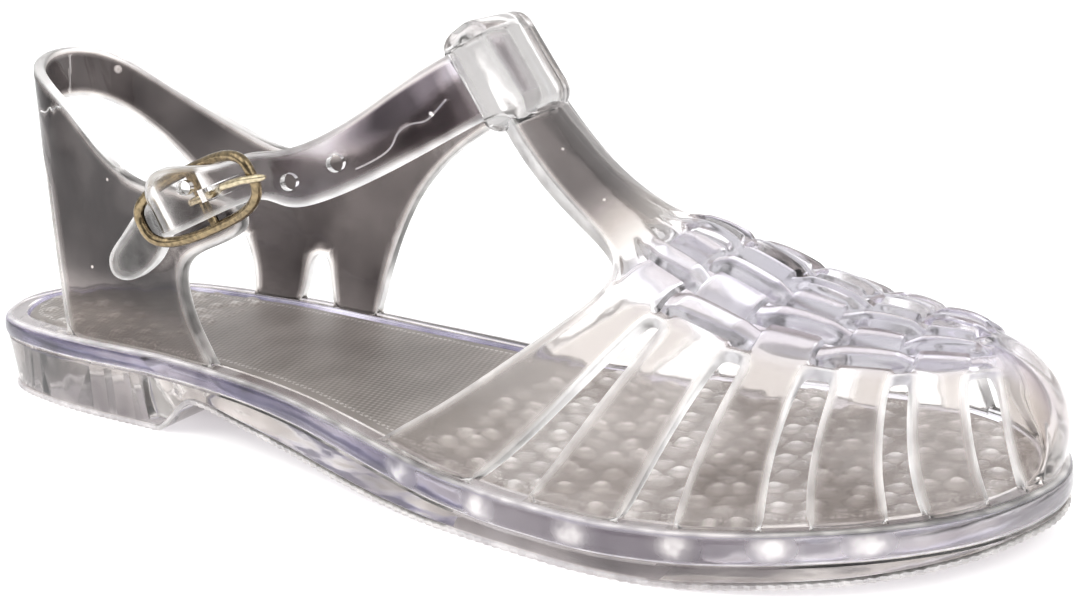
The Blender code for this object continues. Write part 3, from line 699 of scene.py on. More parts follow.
def build_footbed(mat):
    ring = Stations(*BED_GRID)
    bm = bmesh.new()
    layer = bm.verts.layers.int.new("station")
    edge = RIM_WIDTH + 0.5
    lower = ring.fill(bm, layer, edge, lambda x, y: rim_height(x) - RECESS_DEPTH + GAP)
    ring.level_border(lower, layer, below_rim(RECESS_DEPTH - GAP))
    edges = [e for e in bm.edges if e.is_boundary]
    for inset, drop in ((edge, 1.2), (edge + 0.25, 0.75), (edge + 0.8, BED_DROP)):
        edges = ring.raise_ring(bm, layer, edges, lambda x, k: inset, below_rim(drop))
    top = ring.fill(bm, layer, edge + 0.8, lambda x, y: rim_height(x) - BED_DROP + footbed_relief(x, y))
    ring.level_border(top, layer, below_rim(BED_DROP))
    bmesh.ops.remove_doubles(bm, verts=bm.verts, dist=2e-6)
    bmesh.ops.recalc_face_normals(bm, faces=bm.faces)
    bed = object_from("footbed_plate", bm)
    xy = spots_of(bed.data)[:, :2]
    away = np.full(len(xy), 1e3)
    for sample in OUTLINE[::3]:
        away = np.minimum(away, np.hypot(xy[:, 0] - sample[0], xy[:, 1] - sample[1]))
    paint(bed.data, "edge_mm", away)
    canvas_full, canvas_end = CANVAS_FADE
    paint(bed.data, "canvas", unit((canvas_end - xy[:, 0]) / (canvas_end - canvas_full)))
    # Pimple height, read by the material for painted highlights, shade and glints on the pimples
    paint(bed.data, "lump", [footbed_relief(x, y) / PIMPLE_HEIGHT for x, y in xy])
    finish_piece(bed, "insole", mat, 60.0)


def footbed_relief(x, y):
    """Raised pimples on the heel seat and the tread, none on the arch, in millimetres."""
    zone = 0.8 if x < HEEL_SEAT_END else float(x > TREAD_START)
    row_pitch = PIMPLE_PITCH * 0.87
    row = round(x / row_pitch)
    shift = 0.5 * PIMPLE_PITCH if row % 2 else 0.0
    column = math.floor((y - shift) / PIMPLE_PITCH + 0.5)
    dx = x - row * row_pitch - PIMPLE_STRAY * math.sin(5.1 * column + 2.3 * row)
    dy = y - shift - column * PIMPLE_PITCH - PIMPLE_STRAY * math.sin(3.7 * row + 1.9 * column)
    tall = 0.7 + 0.3 * math.sin(4.3 * column + 1.7 * row)
    away = math.hypot(dx, dy) / PIMPLE_RADIUS
    return zone * tall * PIMPLE_HEIGHT * max(0.0, 1.0 - away * away)


def vamp_point(line, angle):
    place_in_order, rim_x, ridge_x, ridge_z = line
    turn = math.radians(angle)
    side = -1 if angle <= 90 else 1
    foot = rim_point(rim_x, side, UPPER_INSET)
    base = rim_height(rim_x) - FOOT_SINK
    x = foot[0] + (ridge_x - foot[0]) * math.sin(turn) ** RIB_SWEEP
    y = RIDGE_Y + (foot[1] - RIDGE_Y) * abs(math.cos(turn)) ** RIB_ARCH
    if place_in_order >= 14.0:
        return (x, y, base)
    return (x, y, base + (ridge_z - base) * math.sin(turn))


def moulded_wall(name, bm, wall, shares=None, crease=0.45, offset=-1.0, levels=3):
    """Give a surface its wall and round it off; shares holds part-thickness by vertex index."""
    obj = object_from(name, bm)
    solidify = obj.modifiers.new("wall", "SOLIDIFY")
    solidify.thickness = wall * MM
    solidify.offset = offset
    solidify.use_even_offset = True
    solidify.edge_crease_inner = crease
    solidify.edge_crease_outer = crease
    if shares:
        group = obj.vertex_groups.new(name="wall")
        for index, share in shares.items():
            group.add([index], share, "REPLACE")
        solidify.vertex_group = "wall"
    rim_index = obj.vertex_groups.new(name="rim_edge").index
    solidify.rim_vertex_group = "rim_edge"
    rounding = obj.modifiers.new("rounding", "SUBSURF")
    rounding.levels = levels
    rounding.render_levels = levels
    solid = bake(obj)
    measure_from_edge(solid.data, rim_index)
    return solid


def measure_from_edge(mesh, rim_index):
    """Paint how far each vertex is from a free edge, in millimetres; a foot on the sole is not free."""
    free = []
    for vert in mesh.vertices:
        on_rim = any(member.group == rim_index and member.weight > 0.995 for member in vert.groups)
        foot = rim_height(vert.co.x / MM + CENTRE_X) + 1.2
        if on_rim and vert.co.z / MM > foot:
            free.append(vert.co)
    nearest = KDTree(len(free))
    for index, spot in enumerate(free):
        nearest.insert(spot, index)
    nearest.balance()
    away = np.array([nearest.find(vert.co)[2] for vert in mesh.vertices]) / MM
    paint(mesh, "from_edge", away)


def pale_edge(mesh, width):
    """Frosting and a painted highlight, paler and glowing, that fade over the width given, from every free
    edge inwards.
    """
    return unit(1.25 - painted(mesh, "from_edge") / width)


def paint(mesh, name, values):
    """Store a number per vertex for a material to read: one for all, or a row of them."""
    layer = mesh.attributes.get(name) or mesh.attributes.new(name, "FLOAT", "POINT")
    numbers = np.zeros(len(mesh.vertices), dtype=np.float32)
    numbers[:] = values
    layer.data.foreach_set("value", numbers)


def painted(mesh, name):
    values = np.zeros(len(mesh.vertices), dtype=np.float32)
    mesh.attributes[name].data.foreach_get("value", values)
    return values


def rows_of(items, name):
    """Rows of three numbers from a mesh's vertices or normals."""
    numbers = np.zeros(len(items) * 3, dtype=np.float32)
    items.foreach_get(name, numbers)
    return numbers.reshape(-1, 3)


def spots_of(mesh):
    """Vertex places in the part's own millimetres."""
    return rows_of(mesh.vertices, "co") / MM + np.array([CENTRE_X, CENTRE_Y, 0.0])


def unit(values):
    return np.clip(values, 0.0, 1.0)


def toward(values, goal, share):
    return values + (goal - values) * share


def build_cage(mat):
    """Vamp ribs, woven ridge, toe cap, T-bar and sleeve."""
    spread = np.linspace(-1.0, 1.0, WEAVE_LAST - WEAVE_FIRST + 1)
    rows = []
    for step, (x, z, half_width, drop, back) in enumerate(reversed(BAR_STATIONS)):
        points = {}
        for k, t in enumerate(spread):
            points[WEAVE_FIRST + k] = (x - back * t * t, BAR_Y + half_width * t, z - drop * t * t)
        rows.append((step - len(BAR_STATIONS), points))
    lines = []
    for near, far in zip(VAMP_LINES, VAMP_LINES[1:] + (None,)):
        lines.append(near)
        if far and near[0] < 2 * RIB_COUNT and int(near[0]) % 2 == 0:
            lines.append(tuple((a + b) / 2.0 for a, b in zip(near, far)))
    for line in lines:
        rows.append((line[0], {j: vamp_point(line, angle) for j, angle in enumerate(COLUMN_ANGLES)}))

    bm = bmesh.new()
    last_row = len(rows) - 1
    last_column = len(COLUMN_ANGLES) - 1
    bmesh.ops.create_grid(bm, x_segments=last_column, y_segments=last_row, size=0.5)
    order_layer = bm.verts.layers.float.new("order")
    column_layer = bm.verts.layers.float.new("column")
    spare = []
    shares = {}
    for vert in bm.verts:
        j = round((vert.co.x + 0.5) * last_column)
        i = round((vert.co.y + 0.5) * last_row)
        order, points = rows[i]
        vert[order_layer] = order
        vert[column_layer] = j
        if j in points:
            vert.co = place(points[j])
        else:
            spare.append(vert)
    slots = []
    for face in bm.faces:
        order = sum(v[order_layer] for v in face.verts) / 4.0
        column = sum(v[column_layer] for v in face.verts) / 4.0
        gap = 0.0 < order < 2 * RIB_COUNT and int(order) % 2 == 1
        if gap and (column < WEAVE_FIRST or column > WEAVE_LAST):
            slots.append(face)
    bmesh.ops.delete(bm, geom=slots, context="FACES")
    bmesh.ops.delete(bm, geom=[v for v in spare if v.is_valid], context="VERTS")
    bmesh.ops.recalc_face_normals(bm, faces=bm.faces)
    if sum(f.normal.z for f in bm.faces) < 0.0:
        bmesh.ops.reverse_faces(bm, faces=bm.faces)
    bm.verts.index_update()
    for vert in bm.verts:
        wall = RIB_WALL
        if vert[order_layer] < 0.0:
            wall = BAR_WALL
        elif WEAVE_FIRST <= vert[column_layer] <= WEAVE_LAST:
            wall = WEAVE_WALL
        shares[vert.index] = wall / BAR_WALL
    sharp = bm.verts.layers.float.new("crease_vert")
    for vert in bm.verts:
        if vert[column_layer] in (0.0, float(last_column)) and len(vert.link_edges) == 2:
            vert[sharp] = 1.0
        inner_end = vert[column_layer] in (WEAVE_FIRST, WEAVE_LAST) and vert.is_boundary
        if inner_end and 0.0 < vert[order_layer] <= 2 * RIB_COUNT:
            vert[sharp] = 0.75
    cage = moulded_wall("woven_cage", bm, BAR_WALL, shares)
    emboss_weave(cage.data)
    tint_cage(cage.data)
    cage = combine(cage, sleeve_block(), "UNION")
    cage = combine(cage, strap_tunnel(), "DIFFERENCE")
    for bubble in BAR_BUBBLES:
        cage = combine(cage, air_bubble(*bubble, BAR_BUBBLE_SHINE), "DIFFERENCE")
    finish_piece(cage, "upper", mat)


def tint_cage(mesh):
    """Smoke of the clear vinyl: deep in the T-bar, light at its root as a painted reflection, lighter in the
    ribs and weave, deeper in the toe cap as a painted reflection, none at the edges, which carry a painted
    highlight.
    """
    order = painted(mesh, "order")
    column = painted(mesh, "column")
    ribs = unit(np.abs(column - 0.5 * (WEAVE_FIRST + WEAVE_LAST)) - 5.0)
    bar = unit(-order)
    # Painted reflection: the T-bar lighter towards its root, standing in for a white reflection there
    deep = toward(SMOKE_BAR, SMOKE_AND_SHEEN_BAR_ROOT, unit((order + 2.6) / 1.6))
    smoke = toward(toward(SMOKE_WEAVE, SMOKE_RIB, ribs), deep, bar)
    # Painted reflection: the toe cap darker, standing in for a dark reflection inside it
    smoke = toward(smoke, SMOKE_AND_REFLECTION_TOE, unit((order - 2.0 * RIB_COUNT) / 1.5))
    # Painted highlight: pale edges, frosted and glowing, with their smoke taken away
    rim = pale_edge(mesh, EDGE_WIDTH)
    paint(mesh, "rim", rim)
    paint(mesh, "smoke", smoke * (1.0 - rim))
    paint(mesh, "violet", (1.0 - ribs) * (1.0 - bar))


def emboss_weave(mesh):
    """Raise the strands and ribs of the weave on the outer face of the cage."""
    order = painted(mesh, "order")
    normal = rows_of(mesh.vertex_normals, "vector")
    co = rows_of(mesh.vertices, "co")
    angle = np.interp(painted(mesh, "column"), range(len(COLUMN_ANGLES)), COLUMN_ANGLES)
    across = (angle - STRAND_ANGLES[0]) / (STRAND_ANGLES[1] - STRAND_ANGLES[0]) * STRANDS
    strand = np.clip(np.floor(across), 0, STRANDS - 1)
    side = np.abs(2.0 * (across - strand) - 1.0) / STRAND_SHARE
    rib = np.round((order - 0.5) / 2.0)
    along = np.abs(order - (2.0 * rib + 0.5)) / 0.58
    strand_top = STRAND_LIFT * np.cos(0.5 * np.pi * (order - 0.5) + np.pi * (strand + 1.0))
    strand_top += 0.35 - 0.6 * side ** 2 - 12.0 * unit(side - 0.8) ** 1.5
    rib_top = RIB_LIFT * np.cos(np.pi * (across - 0.5) + np.pi * rib)
    rib_top += 0.2 - 0.35 * along ** 2 - 8.0 * unit(along - 0.8) ** 1.5
    height = np.maximum(np.maximum(strand_top, rib_top), WEAVE_HOLLOW)
    inside = unit((across + 0.2) / 0.3) * unit((STRANDS + 0.2 - across) / 0.3)
    inside *= unit((order + 0.9) / 0.5) * unit((9.9 - order) / 0.5)
    outer = unit(normal[:, 2] * 3.0)
    co += normal * (height * inside * outer * MM)[:, None]
    mesh.vertices.foreach_set("co", co.ravel())
    mesh.update()


def sleeve_block():
    bm = bmesh.new()
    bmesh.ops.create_cube(bm, size=1.0)
    bmesh.ops.scale(bm, vec=Vector(SLEEVE_SIZE) * MM, verts=bm.verts)
    bmesh.ops.bevel(bm, geom=bm.edges[:], offset=SLEEVE_ROUND * MM, segments=6, profile=0.5,
                    affect="EDGES", material=-1)
    block = solid_at("sleeve_block", bm, SLEEVE_CENTRE, Matrix.Rotation(-SLEEVE_LEAN, 3, "Y"))
    paint(block.data, "smoke", SMOKE_SLEEVE)
    # Painted highlight: the sleeve's haze number also lights it with a painted glow
    paint(block.data, "rim", HAZE_AND_GLOW_SLEEVE)
    return block


def ribbon(bm, rows):
    """Grid of quads through rows of points, all rows of one length."""
    last_row = len(rows) - 1
    last_column = len(rows[0]) - 1
    made = bmesh.ops.create_grid(bm, x_segments=last_column, y_segments=last_row, size=0.5)
    for vert in made["verts"]:
        j = round((vert.co.x + 0.5) * last_column)
        i = round((vert.co.y + 0.5) * last_row)
        vert.co = place(rows[i][j])


def edge_to_edge(station, spare=0.0):
    low = np.array(station[:3])
    top = np.array(station[3:])
    rise = (top - low) / np.linalg.norm(top - low) * spare
    return [tuple(low - rise), tuple((low + top) / 2.0), tuple(top + rise)]


def face_out(bm):
    """Turn the faces of a wall away from the middle of the shoe."""
    bmesh.ops.recalc_face_normals(bm, faces=bm.faces)
    middle = place(SHOE_MIDDLE)
    if sum(f.normal.dot(f.calc_center_median() - middle) for f in bm.faces) < 0.0:
        bmesh.ops.reverse_faces(bm, faces=bm.faces)


def strap_tunnel():
    bm = bmesh.new()
    ribbon(bm, [edge_to_edge(row, 0.35) for row in TUNNEL_STATIONS])
    face_out(bm)
    return moulded_wall("strap_tunnel", bm, STRAP_WALL + 0.7, offset=-0.79)


def buckle_point(along, out, up=0.0):
    """Point by distance along and up the tilted buckle and its stand-off from the shoe's middle."""
    x = BUCKLE_X + along * math.cos(BUCKLE_TILT) - up * math.sin(BUCKLE_TILT)
    z = BUCKLE_Z + along * math.sin(BUCKLE_TILT) + up * math.cos(BUCKLE_TILT)
    return (x, BUCKLE_LEAN * up - out, z)


def quarter_point(row, t):
    foot_x, top_x, top_y, top_z, hollow = row
    foot = rim_point(foot_x, -1, UPPER_INSET)
    base = rim_height(foot_x) - FOOT_SINK
    x = foot[0] + (top_x - foot[0]) * t - hollow * math.sin(math.pi * min(t / 0.8, 1.0))
    return (x, foot[1] + (top_y - foot[1]) * t ** 1.3, base + (top_z - base) * t)


def build_straps(mat):
    """Outer quarter, heel sling, inner saddle on two legs, and the ankle strap through the buckle."""
    bm = bmesh.new()
    quarter = [[quarter_point(row, t) for t in QUARTER_STEPS] for row in reversed(LATERAL_QUARTER)]
    tab = [[(x, y, z) for z in (low, middle, top)] for x, y, low, middle, top in reversed(TAB_ROWS)]
    ribbon(bm, tab + [quarter[0][-3:]])
    ribbon(bm, quarter)
    strap = [quarter[-1][-3:]]
    strap += [edge_to_edge(row) for row in SLING_STATIONS + SADDLE_STATIONS + STRAP_STATIONS]
    for along, out, low, top in BUCKLE_PASS:
        strap.append([buckle_point(along, out, up) for up in (-low, (top - low) / 2.0, top)])
    strap += [list(row) for row in STRAP_END]
    ribbon(bm, strap)
    legs = []
    for foot_x, waist_x, row in zip(LEG_FEET, LEG_WAIST, SADDLE_STATIONS):
        foot = rim_point(foot_x, 1, UPPER_INSET)
        base = rim_height(foot_x) - FOOT_SINK
        waist = (waist_x, (foot[1] + row[1]) / 2.0, (base + row[2]) / 2.0)
        legs.append([(foot[0], foot[1], base), waist, row[:3]])
    ribbon(bm, legs[:3])
    ribbon(bm, legs[3:])
    bmesh.ops.remove_doubles(bm, verts=bm.verts, dist=1e-6)
    face_out(bm)
    sharp = bm.verts.layers.float.new("crease_vert")
    for vert in bm.verts:
        if len(vert.link_edges) == 2 and vert.co.z < FOOT_LEVEL * MM:
            vert[sharp] = 1.0
    straps = moulded_wall("sling_and_strap", bm, STRAP_WALL)
    tint_straps(straps.data)
    for x, y, z, radius in STRAP_HOLES:
        straps = combine(straps, hole_punch(x, y, z, radius), "DIFFERENCE")
    straps = combine(straps, slot_punch(), "DIFFERENCE")
    for bright, points in WELD_LINES:
        weld = wire("weld_line", round_corners(points), WELD_RADIUS)
        # Painted highlight: the weld line glows with the brightness given
        paint(weld.data, "rim", bright)
        straps = combine(straps, weld, "UNION")
    for bubble in STRAP_BUBBLES:
        straps = combine(straps, air_bubble(*bubble, BUBBLE_SHINE), "DIFFERENCE")
    finish_piece(straps, "upper", mat)


def tint_straps(mesh):
    """Smoke of the rear: deep in the quarter and sling as painted shade, thinner in the strap and its free
    end, the free end's lightness a painted reflection; the strap's upper edge gets painted shade and the
    edges a painted highlight.
    """
    x, y, z = spots_of(mesh).T
    inner = unit((y + 4.0) / 12.0)
    front = unit((x - STRAP_START) / (14.0 + 20.0 * inner))
    outer = unit((-15.0 - y) / 4.0)
    outer_strap = outer * unit((x - STRAP_START) / 4.0)
    near = unit((130.0 - x) / 16.0) * outer_strap
    free = unit((-27.6 - y) / 0.8) * (x < 104.0)
    bulge = unit((-29.5 - y) / 2.0)
    foot = unit((34.0 - z) / 10.0) * outer * (1.0 - free)
    sleeved = unit((x - 131.0) / 2.0) * unit(0.5 * SLEEVE_SIZE[1] + 0.5 - np.abs(y))
    thick = np.maximum(bulge, sleeved)
    # Painted shade: the quarter, sling and saddle made darkest, standing in for the dark room seen through
    # them
    smoke = toward(SMOKE_AND_SHADE_REAR, SMOKE_AND_SHADE_SADDLE, inner)
    smoke = toward(smoke, SMOKE_STRAP, front)
    smoke = toward(smoke, SMOKE_REAR_FOOT, foot)
    smoke = toward(smoke, SMOKE_STRAP_NEAR, near)
    lower_line = [(95.0, 50.0)] + [(row[0], row[2]) for row in reversed(STRAP_STATIONS[6:])]
    low_edge = np.interp(x, *zip(*lower_line))
    upper = unit((z - low_edge - 2.0) / 8.0)
    # Painted shade: the outer strap darker towards its upper edge and lighter near its lower edge
    smoke = smoke * (1.0 + (1.2 * upper - 0.2) * outer_strap)
    # Painted reflection: the strap's free end made lighter, standing in for a lamp's reflection on it
    smoke = toward(smoke, SMOKE_AND_SHEEN_FREE_END, free)
    smoke = toward(smoke, SMOKE_BULGE, thick)
    broad = outer * unit((x - 52.0) / 6.0) * (z < low_edge + 5.0) * (1.0 - free)
    # Painted highlight: pale edges, broader along the quarter's front edge and the strap's lower edge,
    # frosted, glowing and without smoke
    rim = pale_edge(mesh, toward(EDGE_WIDTH, BROAD_EDGE, broad))
    # Painted highlights: haze that glows on the bulge, where the strap runs through the sleeve, on the outer
    # strap and on its free end
    rim = np.maximum(rim, HAZE_AND_GLOW_BULGE * thick)
    rim = np.maximum(rim, HAZE_AND_GLOW_STRAP * near * (1.0 - upper) * (1.0 - bulge))
    rim = np.maximum(rim, HAZE_AND_GLOW_FREE_END * free * (1.0 - bulge))
    paint(mesh, "rim", rim)
    paint(mesh, "smoke", smoke * (1.0 - rim))
    paint(mesh, "violet", front * (1.0 - inner) * (1.0 - rim))


def hole_punch(x, y, z, radius):
    bm = bmesh.new()
    size = radius * MM
    bmesh.ops.create_cone(bm, cap_ends=True, segments=28, radius1=size, radius2=size, depth=HOLE_DEPTH * MM)
    outward = Vector(HOLE_DIRECTION).normalized()
    punch = solid_at("hole_punch", bm, (x, y, z), outward.to_track_quat("Z", "Y").to_matrix())
    # Painted highlight: the hole's walls are frosted and glow pale
    paint(punch.data, "rim", HAZE_AND_GLOW_HOLE)
    return punch


def air_bubble(x, y, z, radius, shine):
    bm = bmesh.new()
    bmesh.ops.create_icosphere(bm, subdivisions=3, radius=radius * MM)
    bubble = solid_at("air_bubble", bm, (x, y, z))
    # Painted highlight: the bubble's surface glows with the shine given
    paint(bubble.data, "rim", shine)
    return bubble


def round_corners(points):
    """Wandering path with its corners cut off twice."""
    path = np.array(points)
    for _ in range(2):
        near = 0.75 * path[:-1] + 0.25 * path[1:]
        far = 0.25 * path[:-1] + 0.75 * path[1:]
        between = np.stack([near, far], axis=1).reshape(-1, 3)
        path = np.concatenate([path[:1], between, path[-1:]])
    return [tuple(point) for point in path]


def slot_punch():
    along, out, length, width = PRONG_SLOT
    bm = bmesh.new()
    bmesh.ops.create_cube(bm, size=1.0)
    bmesh.ops.scale(bm, vec=Vector((length, SLOT_DEPTH, width)) * MM, verts=bm.verts)
    return solid_at("slot_punch", bm, buckle_point(along, out), Matrix.Rotation(-BUCKLE_TILT, 3, "Y"))


def wire(name, points, radius, closed=False, radii=None):
    curve = bpy.data.curves.new(name, "CURVE")
    curve.dimensions = "3D"
    curve.bevel_depth = radius * MM
    curve.bevel_resolution = 5
    curve.use_fill_caps = not closed
    spline = curve.splines.new("POLY")
    spline.points.add(len(points) - 1)
    for k, (spot, point) in enumerate(zip(spline.points, points)):
        spot.co = (*place(point), 1.0)
        if radii:
            spot.radius = radii[k]
    spline.use_cyclic_u = closed
    solid = bake(new_object(name, curve))
    bm = bmesh.new()
    bm.from_mesh(solid.data)
    bmesh.ops.remove_doubles(bm, verts=bm.verts, dist=1e-6)
    bmesh.ops.recalc_face_normals(bm, faces=bm.faces)
    bm.to_mesh(solid.data)
    bm.free()
    return solid


def build_buckle(frame_mat, prong_mat):
    loop = []
    for step in range(BUCKLE_STEPS):
        turn = 2.0 * math.pi * step / BUCKLE_STEPS
        c, s = math.cos(turn), math.sin(turn)
        along = BUCKLE_HALF_LENGTH * math.copysign(abs(c) ** BUCKLE_SQUARENESS, c)
        up = BUCKLE_HALF_HEIGHT * math.copysign(abs(s) ** BUCKLE_SQUARENESS, s)
        loop.append(buckle_point(along, BAR_OUT + BUCKLE_BOW * (along / BUCKLE_HALF_LENGTH) ** 2, up))
    hoop = wire("buckle_hoop", loop, BUCKLE_WIRE, closed=True)
    ends = [buckle_point(0.0, BAR_OUT, up) for up in (-BUCKLE_HALF_HEIGHT, 0.0, BUCKLE_HALF_HEIGHT)]
    hoop = combine(hoop, wire("buckle_bar", ends, BAR_WIRE), "UNION")
    finish_piece(hoop, "buckle_frame", frame_mat, 60.0)
    hook = BAR_WIRE + GAP + PRONG_WIRE
    path = []
    for degrees in range(HOOK_WRAP, -1, -5):
        turn = math.radians(degrees)
        path.append((hook * math.cos(turn), BAR_OUT + hook * math.sin(turn), 0.0))
    knots = np.array([path[-1]] + list(PRONG_PATH))
    steps = np.linspace(0.0, len(knots) - 1.0, 40)[1:]
    path += [tuple(np.interp(step, range(len(knots)), knots[:, k]) for k in (0, 1, 2)) for step in steps]
    points = [buckle_point(along, out, up) for along, out, up in path]
    tip = [1.0] * (len(points) - 4) + [0.96, 0.86, 0.66, 0.36]
    prong = wire("buckle_tongue", points, PRONG_WIRE, radii=tip)
    finish_piece(prong, "buckle_prong", prong_mat, 60.0)


def feed(tree, socket, value):
    """Link a socket to another one, or set its number, vector or colour."""
    if isinstance(value, bpy.types.NodeSocket):
        tree.links.new(value, socket)
    else:
        socket.default_value = value


def add(tree, kind, values=None, **settings):
    """New shader node with its settings made and its inputs fed."""
    made = tree.nodes.new("ShaderNode" + kind)
    for key, value in settings.items():
        setattr(made, key, value)
    for key, value in (values or {}).items():
        feed(tree, made.inputs[key], value)
    return made


def maths(tree, operation, first, second=0.0):
    return add(tree, "Math", {0: first, 1: second}, operation=operation).outputs[0]


def weighted_sum(tree, base, *parts):
    """A number plus each part times its weight."""
    total = base
    for part, weight in parts:
        total = maths(tree, "ADD", maths(tree, "MULTIPLY", part, weight), total)
    return total


def sine_of(tree, source, period):
    """Sine of a length in metres with the period given."""
    return maths(tree, "SINE", maths(tree, "MULTIPLY", source, 2.0 * math.pi / period))


def noise(tree, vector, scale, detail, roughness=0.5):
    values = {"Vector": vector, "Scale": scale, "Detail": detail, "Roughness": roughness}
    return add(tree, "TexNoise", values).outputs["Fac"]


def remap(tree, value, low, high, to_low=0.0, to_high=1.0, **settings):
    ends = {"Value": value, "From Min": low, "From Max": high, "To Min": to_low, "To Max": to_high}
    return add(tree, "MapRange", ends, **settings).outputs["Result"]


def blend(tree, share, first, second, blend_type="MIX"):
    colours = {0: share, 6: first, 7: second}
    return add(tree, "Mix", colours, data_type="RGBA", blend_type=blend_type).outputs[2]


def ramp(tree, stops, value):
    made = add(tree, "ValToRGB", {0: value})
    while len(made.color_ramp.elements) < len(stops):
        made.color_ramp.elements.new(0.5)
    for element, (at, colour) in zip(made.color_ramp.elements, stops):
        element.position = at
        element.color = (*colour, 1.0)
    return made.outputs["Color"]


def bumped(tree, height, strength, distance=0.001):
    return add(tree, "Bump", {"Height": height, "Strength": strength, "Distance": distance}).outputs["Normal"]


def painted_number(tree, name):
    return add(tree, "Attribute", attribute_name=name).outputs["Fac"]


def own_place(tree):
    return add(tree, "TexCoord").outputs["Object"]


def new_material(name):
    mat = bpy.data.materials.new(name)
    mat.use_nodes = True
    return mat, mat.node_tree


def dress(tree, values):
    """Feed the inputs of a material's surface."""
    for key, value in values.items():
        feed(tree, tree.nodes["Principled BSDF"].inputs[key], value)


def let_light_through(tree, shadow):
    """Clear vinyl throws a pale shadow, not a black one."""
    lets_light = add(tree, "BsdfTransparent", {"Color": (*shadow, 1.0)}).outputs["BSDF"]
    in_shadow = add(tree, "LightPath").outputs["Is Shadow Ray"]
    vinyl = tree.nodes["Principled BSDF"].outputs["BSDF"]
    mix = add(tree, "MixShader", {"Fac": in_shadow, 1: vinyl, 2: lets_light})
    feed(tree, tree.nodes["Material Output"].inputs["Surface"], mix.outputs["Shader"])


def new_group(name, inputs, outputs):
    """Empty shader group with named sockets: its tree, its input node and its output node."""
    tree = bpy.data.node_groups.new(name, "ShaderNodeTree")
    for way, sockets in (("INPUT", inputs), ("OUTPUT", outputs)):
        for label, kind in sockets:
            tree.interface.new_socket(label, in_out=way, socket_type="NodeSocket" + kind)
    return tree, tree.nodes.new("NodeGroupInput").outputs, tree.nodes.new("NodeGroupOutput").inputs


def mould_ripple_group():
    """Slow waves, flow marks and fine scratches of moulded vinyl, as a height."""
    tree, given, result = new_group("mould_ripple", (("Vector", "Vector"),), (("Height", "Float"),))
    slow = noise(tree, given["Vector"], 90.0, 2.0, 0.4)
    fine = noise(tree, given["Vector"], 900.0, 3.0)
    feed(tree, result["Height"], weighted_sum(tree, slow, (fine, 0.015)))
    return tree


def smoked_vinyl_group():
    """Smoke, violet cast, haze, pale edges and painted glow of clear vinyl, from the numbers painted on a
    piece.
    """
    painted_on = (("Smoke", "Float"), ("Cast", "Float"), ("FrostAndGlow", "Float"))
    chosen = (("Vector", "Vector"), ("Violet", "Color"), ("Mottle", "Float"), ("Roughness", "Float"))
    results = (("Color", "Color"), ("Roughness", "Float"), ("Glow", "Color"))
    tree, given, result = new_group("smoked_vinyl", painted_on + chosen, results)
    cloud = noise(tree, given["Vector"], 45.0, 3.0)
    drift = maths(tree, "MULTIPLY", maths(tree, "SUBTRACT", cloud, 0.5), given["Mottle"])
    smoke = maths(tree, "MULTIPLY", given["Smoke"], maths(tree, "ADD", drift, 1.0))
    cast = maths(tree, "MULTIPLY", given["Cast"], remap(tree, cloud, 0.4, 0.6, 0.6, 1.0))
    colour = ramp(tree, VINYL_SMOKE, smoke)
    feed(tree, result["Color"], blend(tree, cast, colour, given["Violet"], "MULTIPLY"))
    grain = maths(tree, "MULTIPLY", given["Roughness"], maths(tree, "ADD", cloud, 0.6))
    frost_and_glow = maths(tree, "MINIMUM", given["FrostAndGlow"], 1.0)
    feed(tree, result["Roughness"], weighted_sum(tree, grain, (frost_and_glow, 0.42), (given["Cast"], 0.09)))
    # Painted highlights: the frost number, broken up by noise, becomes a warm white glow for the emission
    broken = remap(tree, noise(tree, given["Vector"], 220.0, 2.0), 0.35, 0.65, 0.3, 1.4)
    shine = maths(tree, "MULTIPLY", given["FrostAndGlow"], broken)
    glow = add(tree, "VectorMath", {0: (1.0, 0.97, 0.93), "Scale": shine}, operation="SCALE")
    feed(tree, result["Glow"], glow.outputs["Vector"])
    return tree


def clear_vinyl(name, groups, violet, mottle, roughness, relief, shadow):
    """Clear vinyl: its smoke, violet cast, pale edges and painted glow are painted on each piece."""
    ripple, smoked = groups
    mat, tree = new_material(name)
    spot = own_place(tree)
    given = {"Vector": spot, "Violet": (*violet, 1.0), "Mottle": mottle, "Roughness": roughness}
    for label, layer in zip(("Smoke", "Cast", "FrostAndGlow"), PAINTED_NAMES):
        given[label] = painted_number(tree, layer)
    vinyl = add(tree, "Group", given, node_tree=smoked).outputs
    waves = add(tree, "Group", {"Vector": spot}, node_tree=ripple).outputs["Height"]
    # Emission paints the glow of pale edges, welds, bubbles and rim spots as painted highlights
    dress(tree, {"Transmission Weight": 1.0, "IOR": VINYL_IOR, "Base Color": vinyl["Color"],
                 "Roughness": vinyl["Roughness"], "Emission Color": vinyl["Glow"],
                 "Emission Strength": EDGE_GLOW, "Normal": bumped(tree, waves, relief)})
    let_light_through(tree, shadow)
    return mat


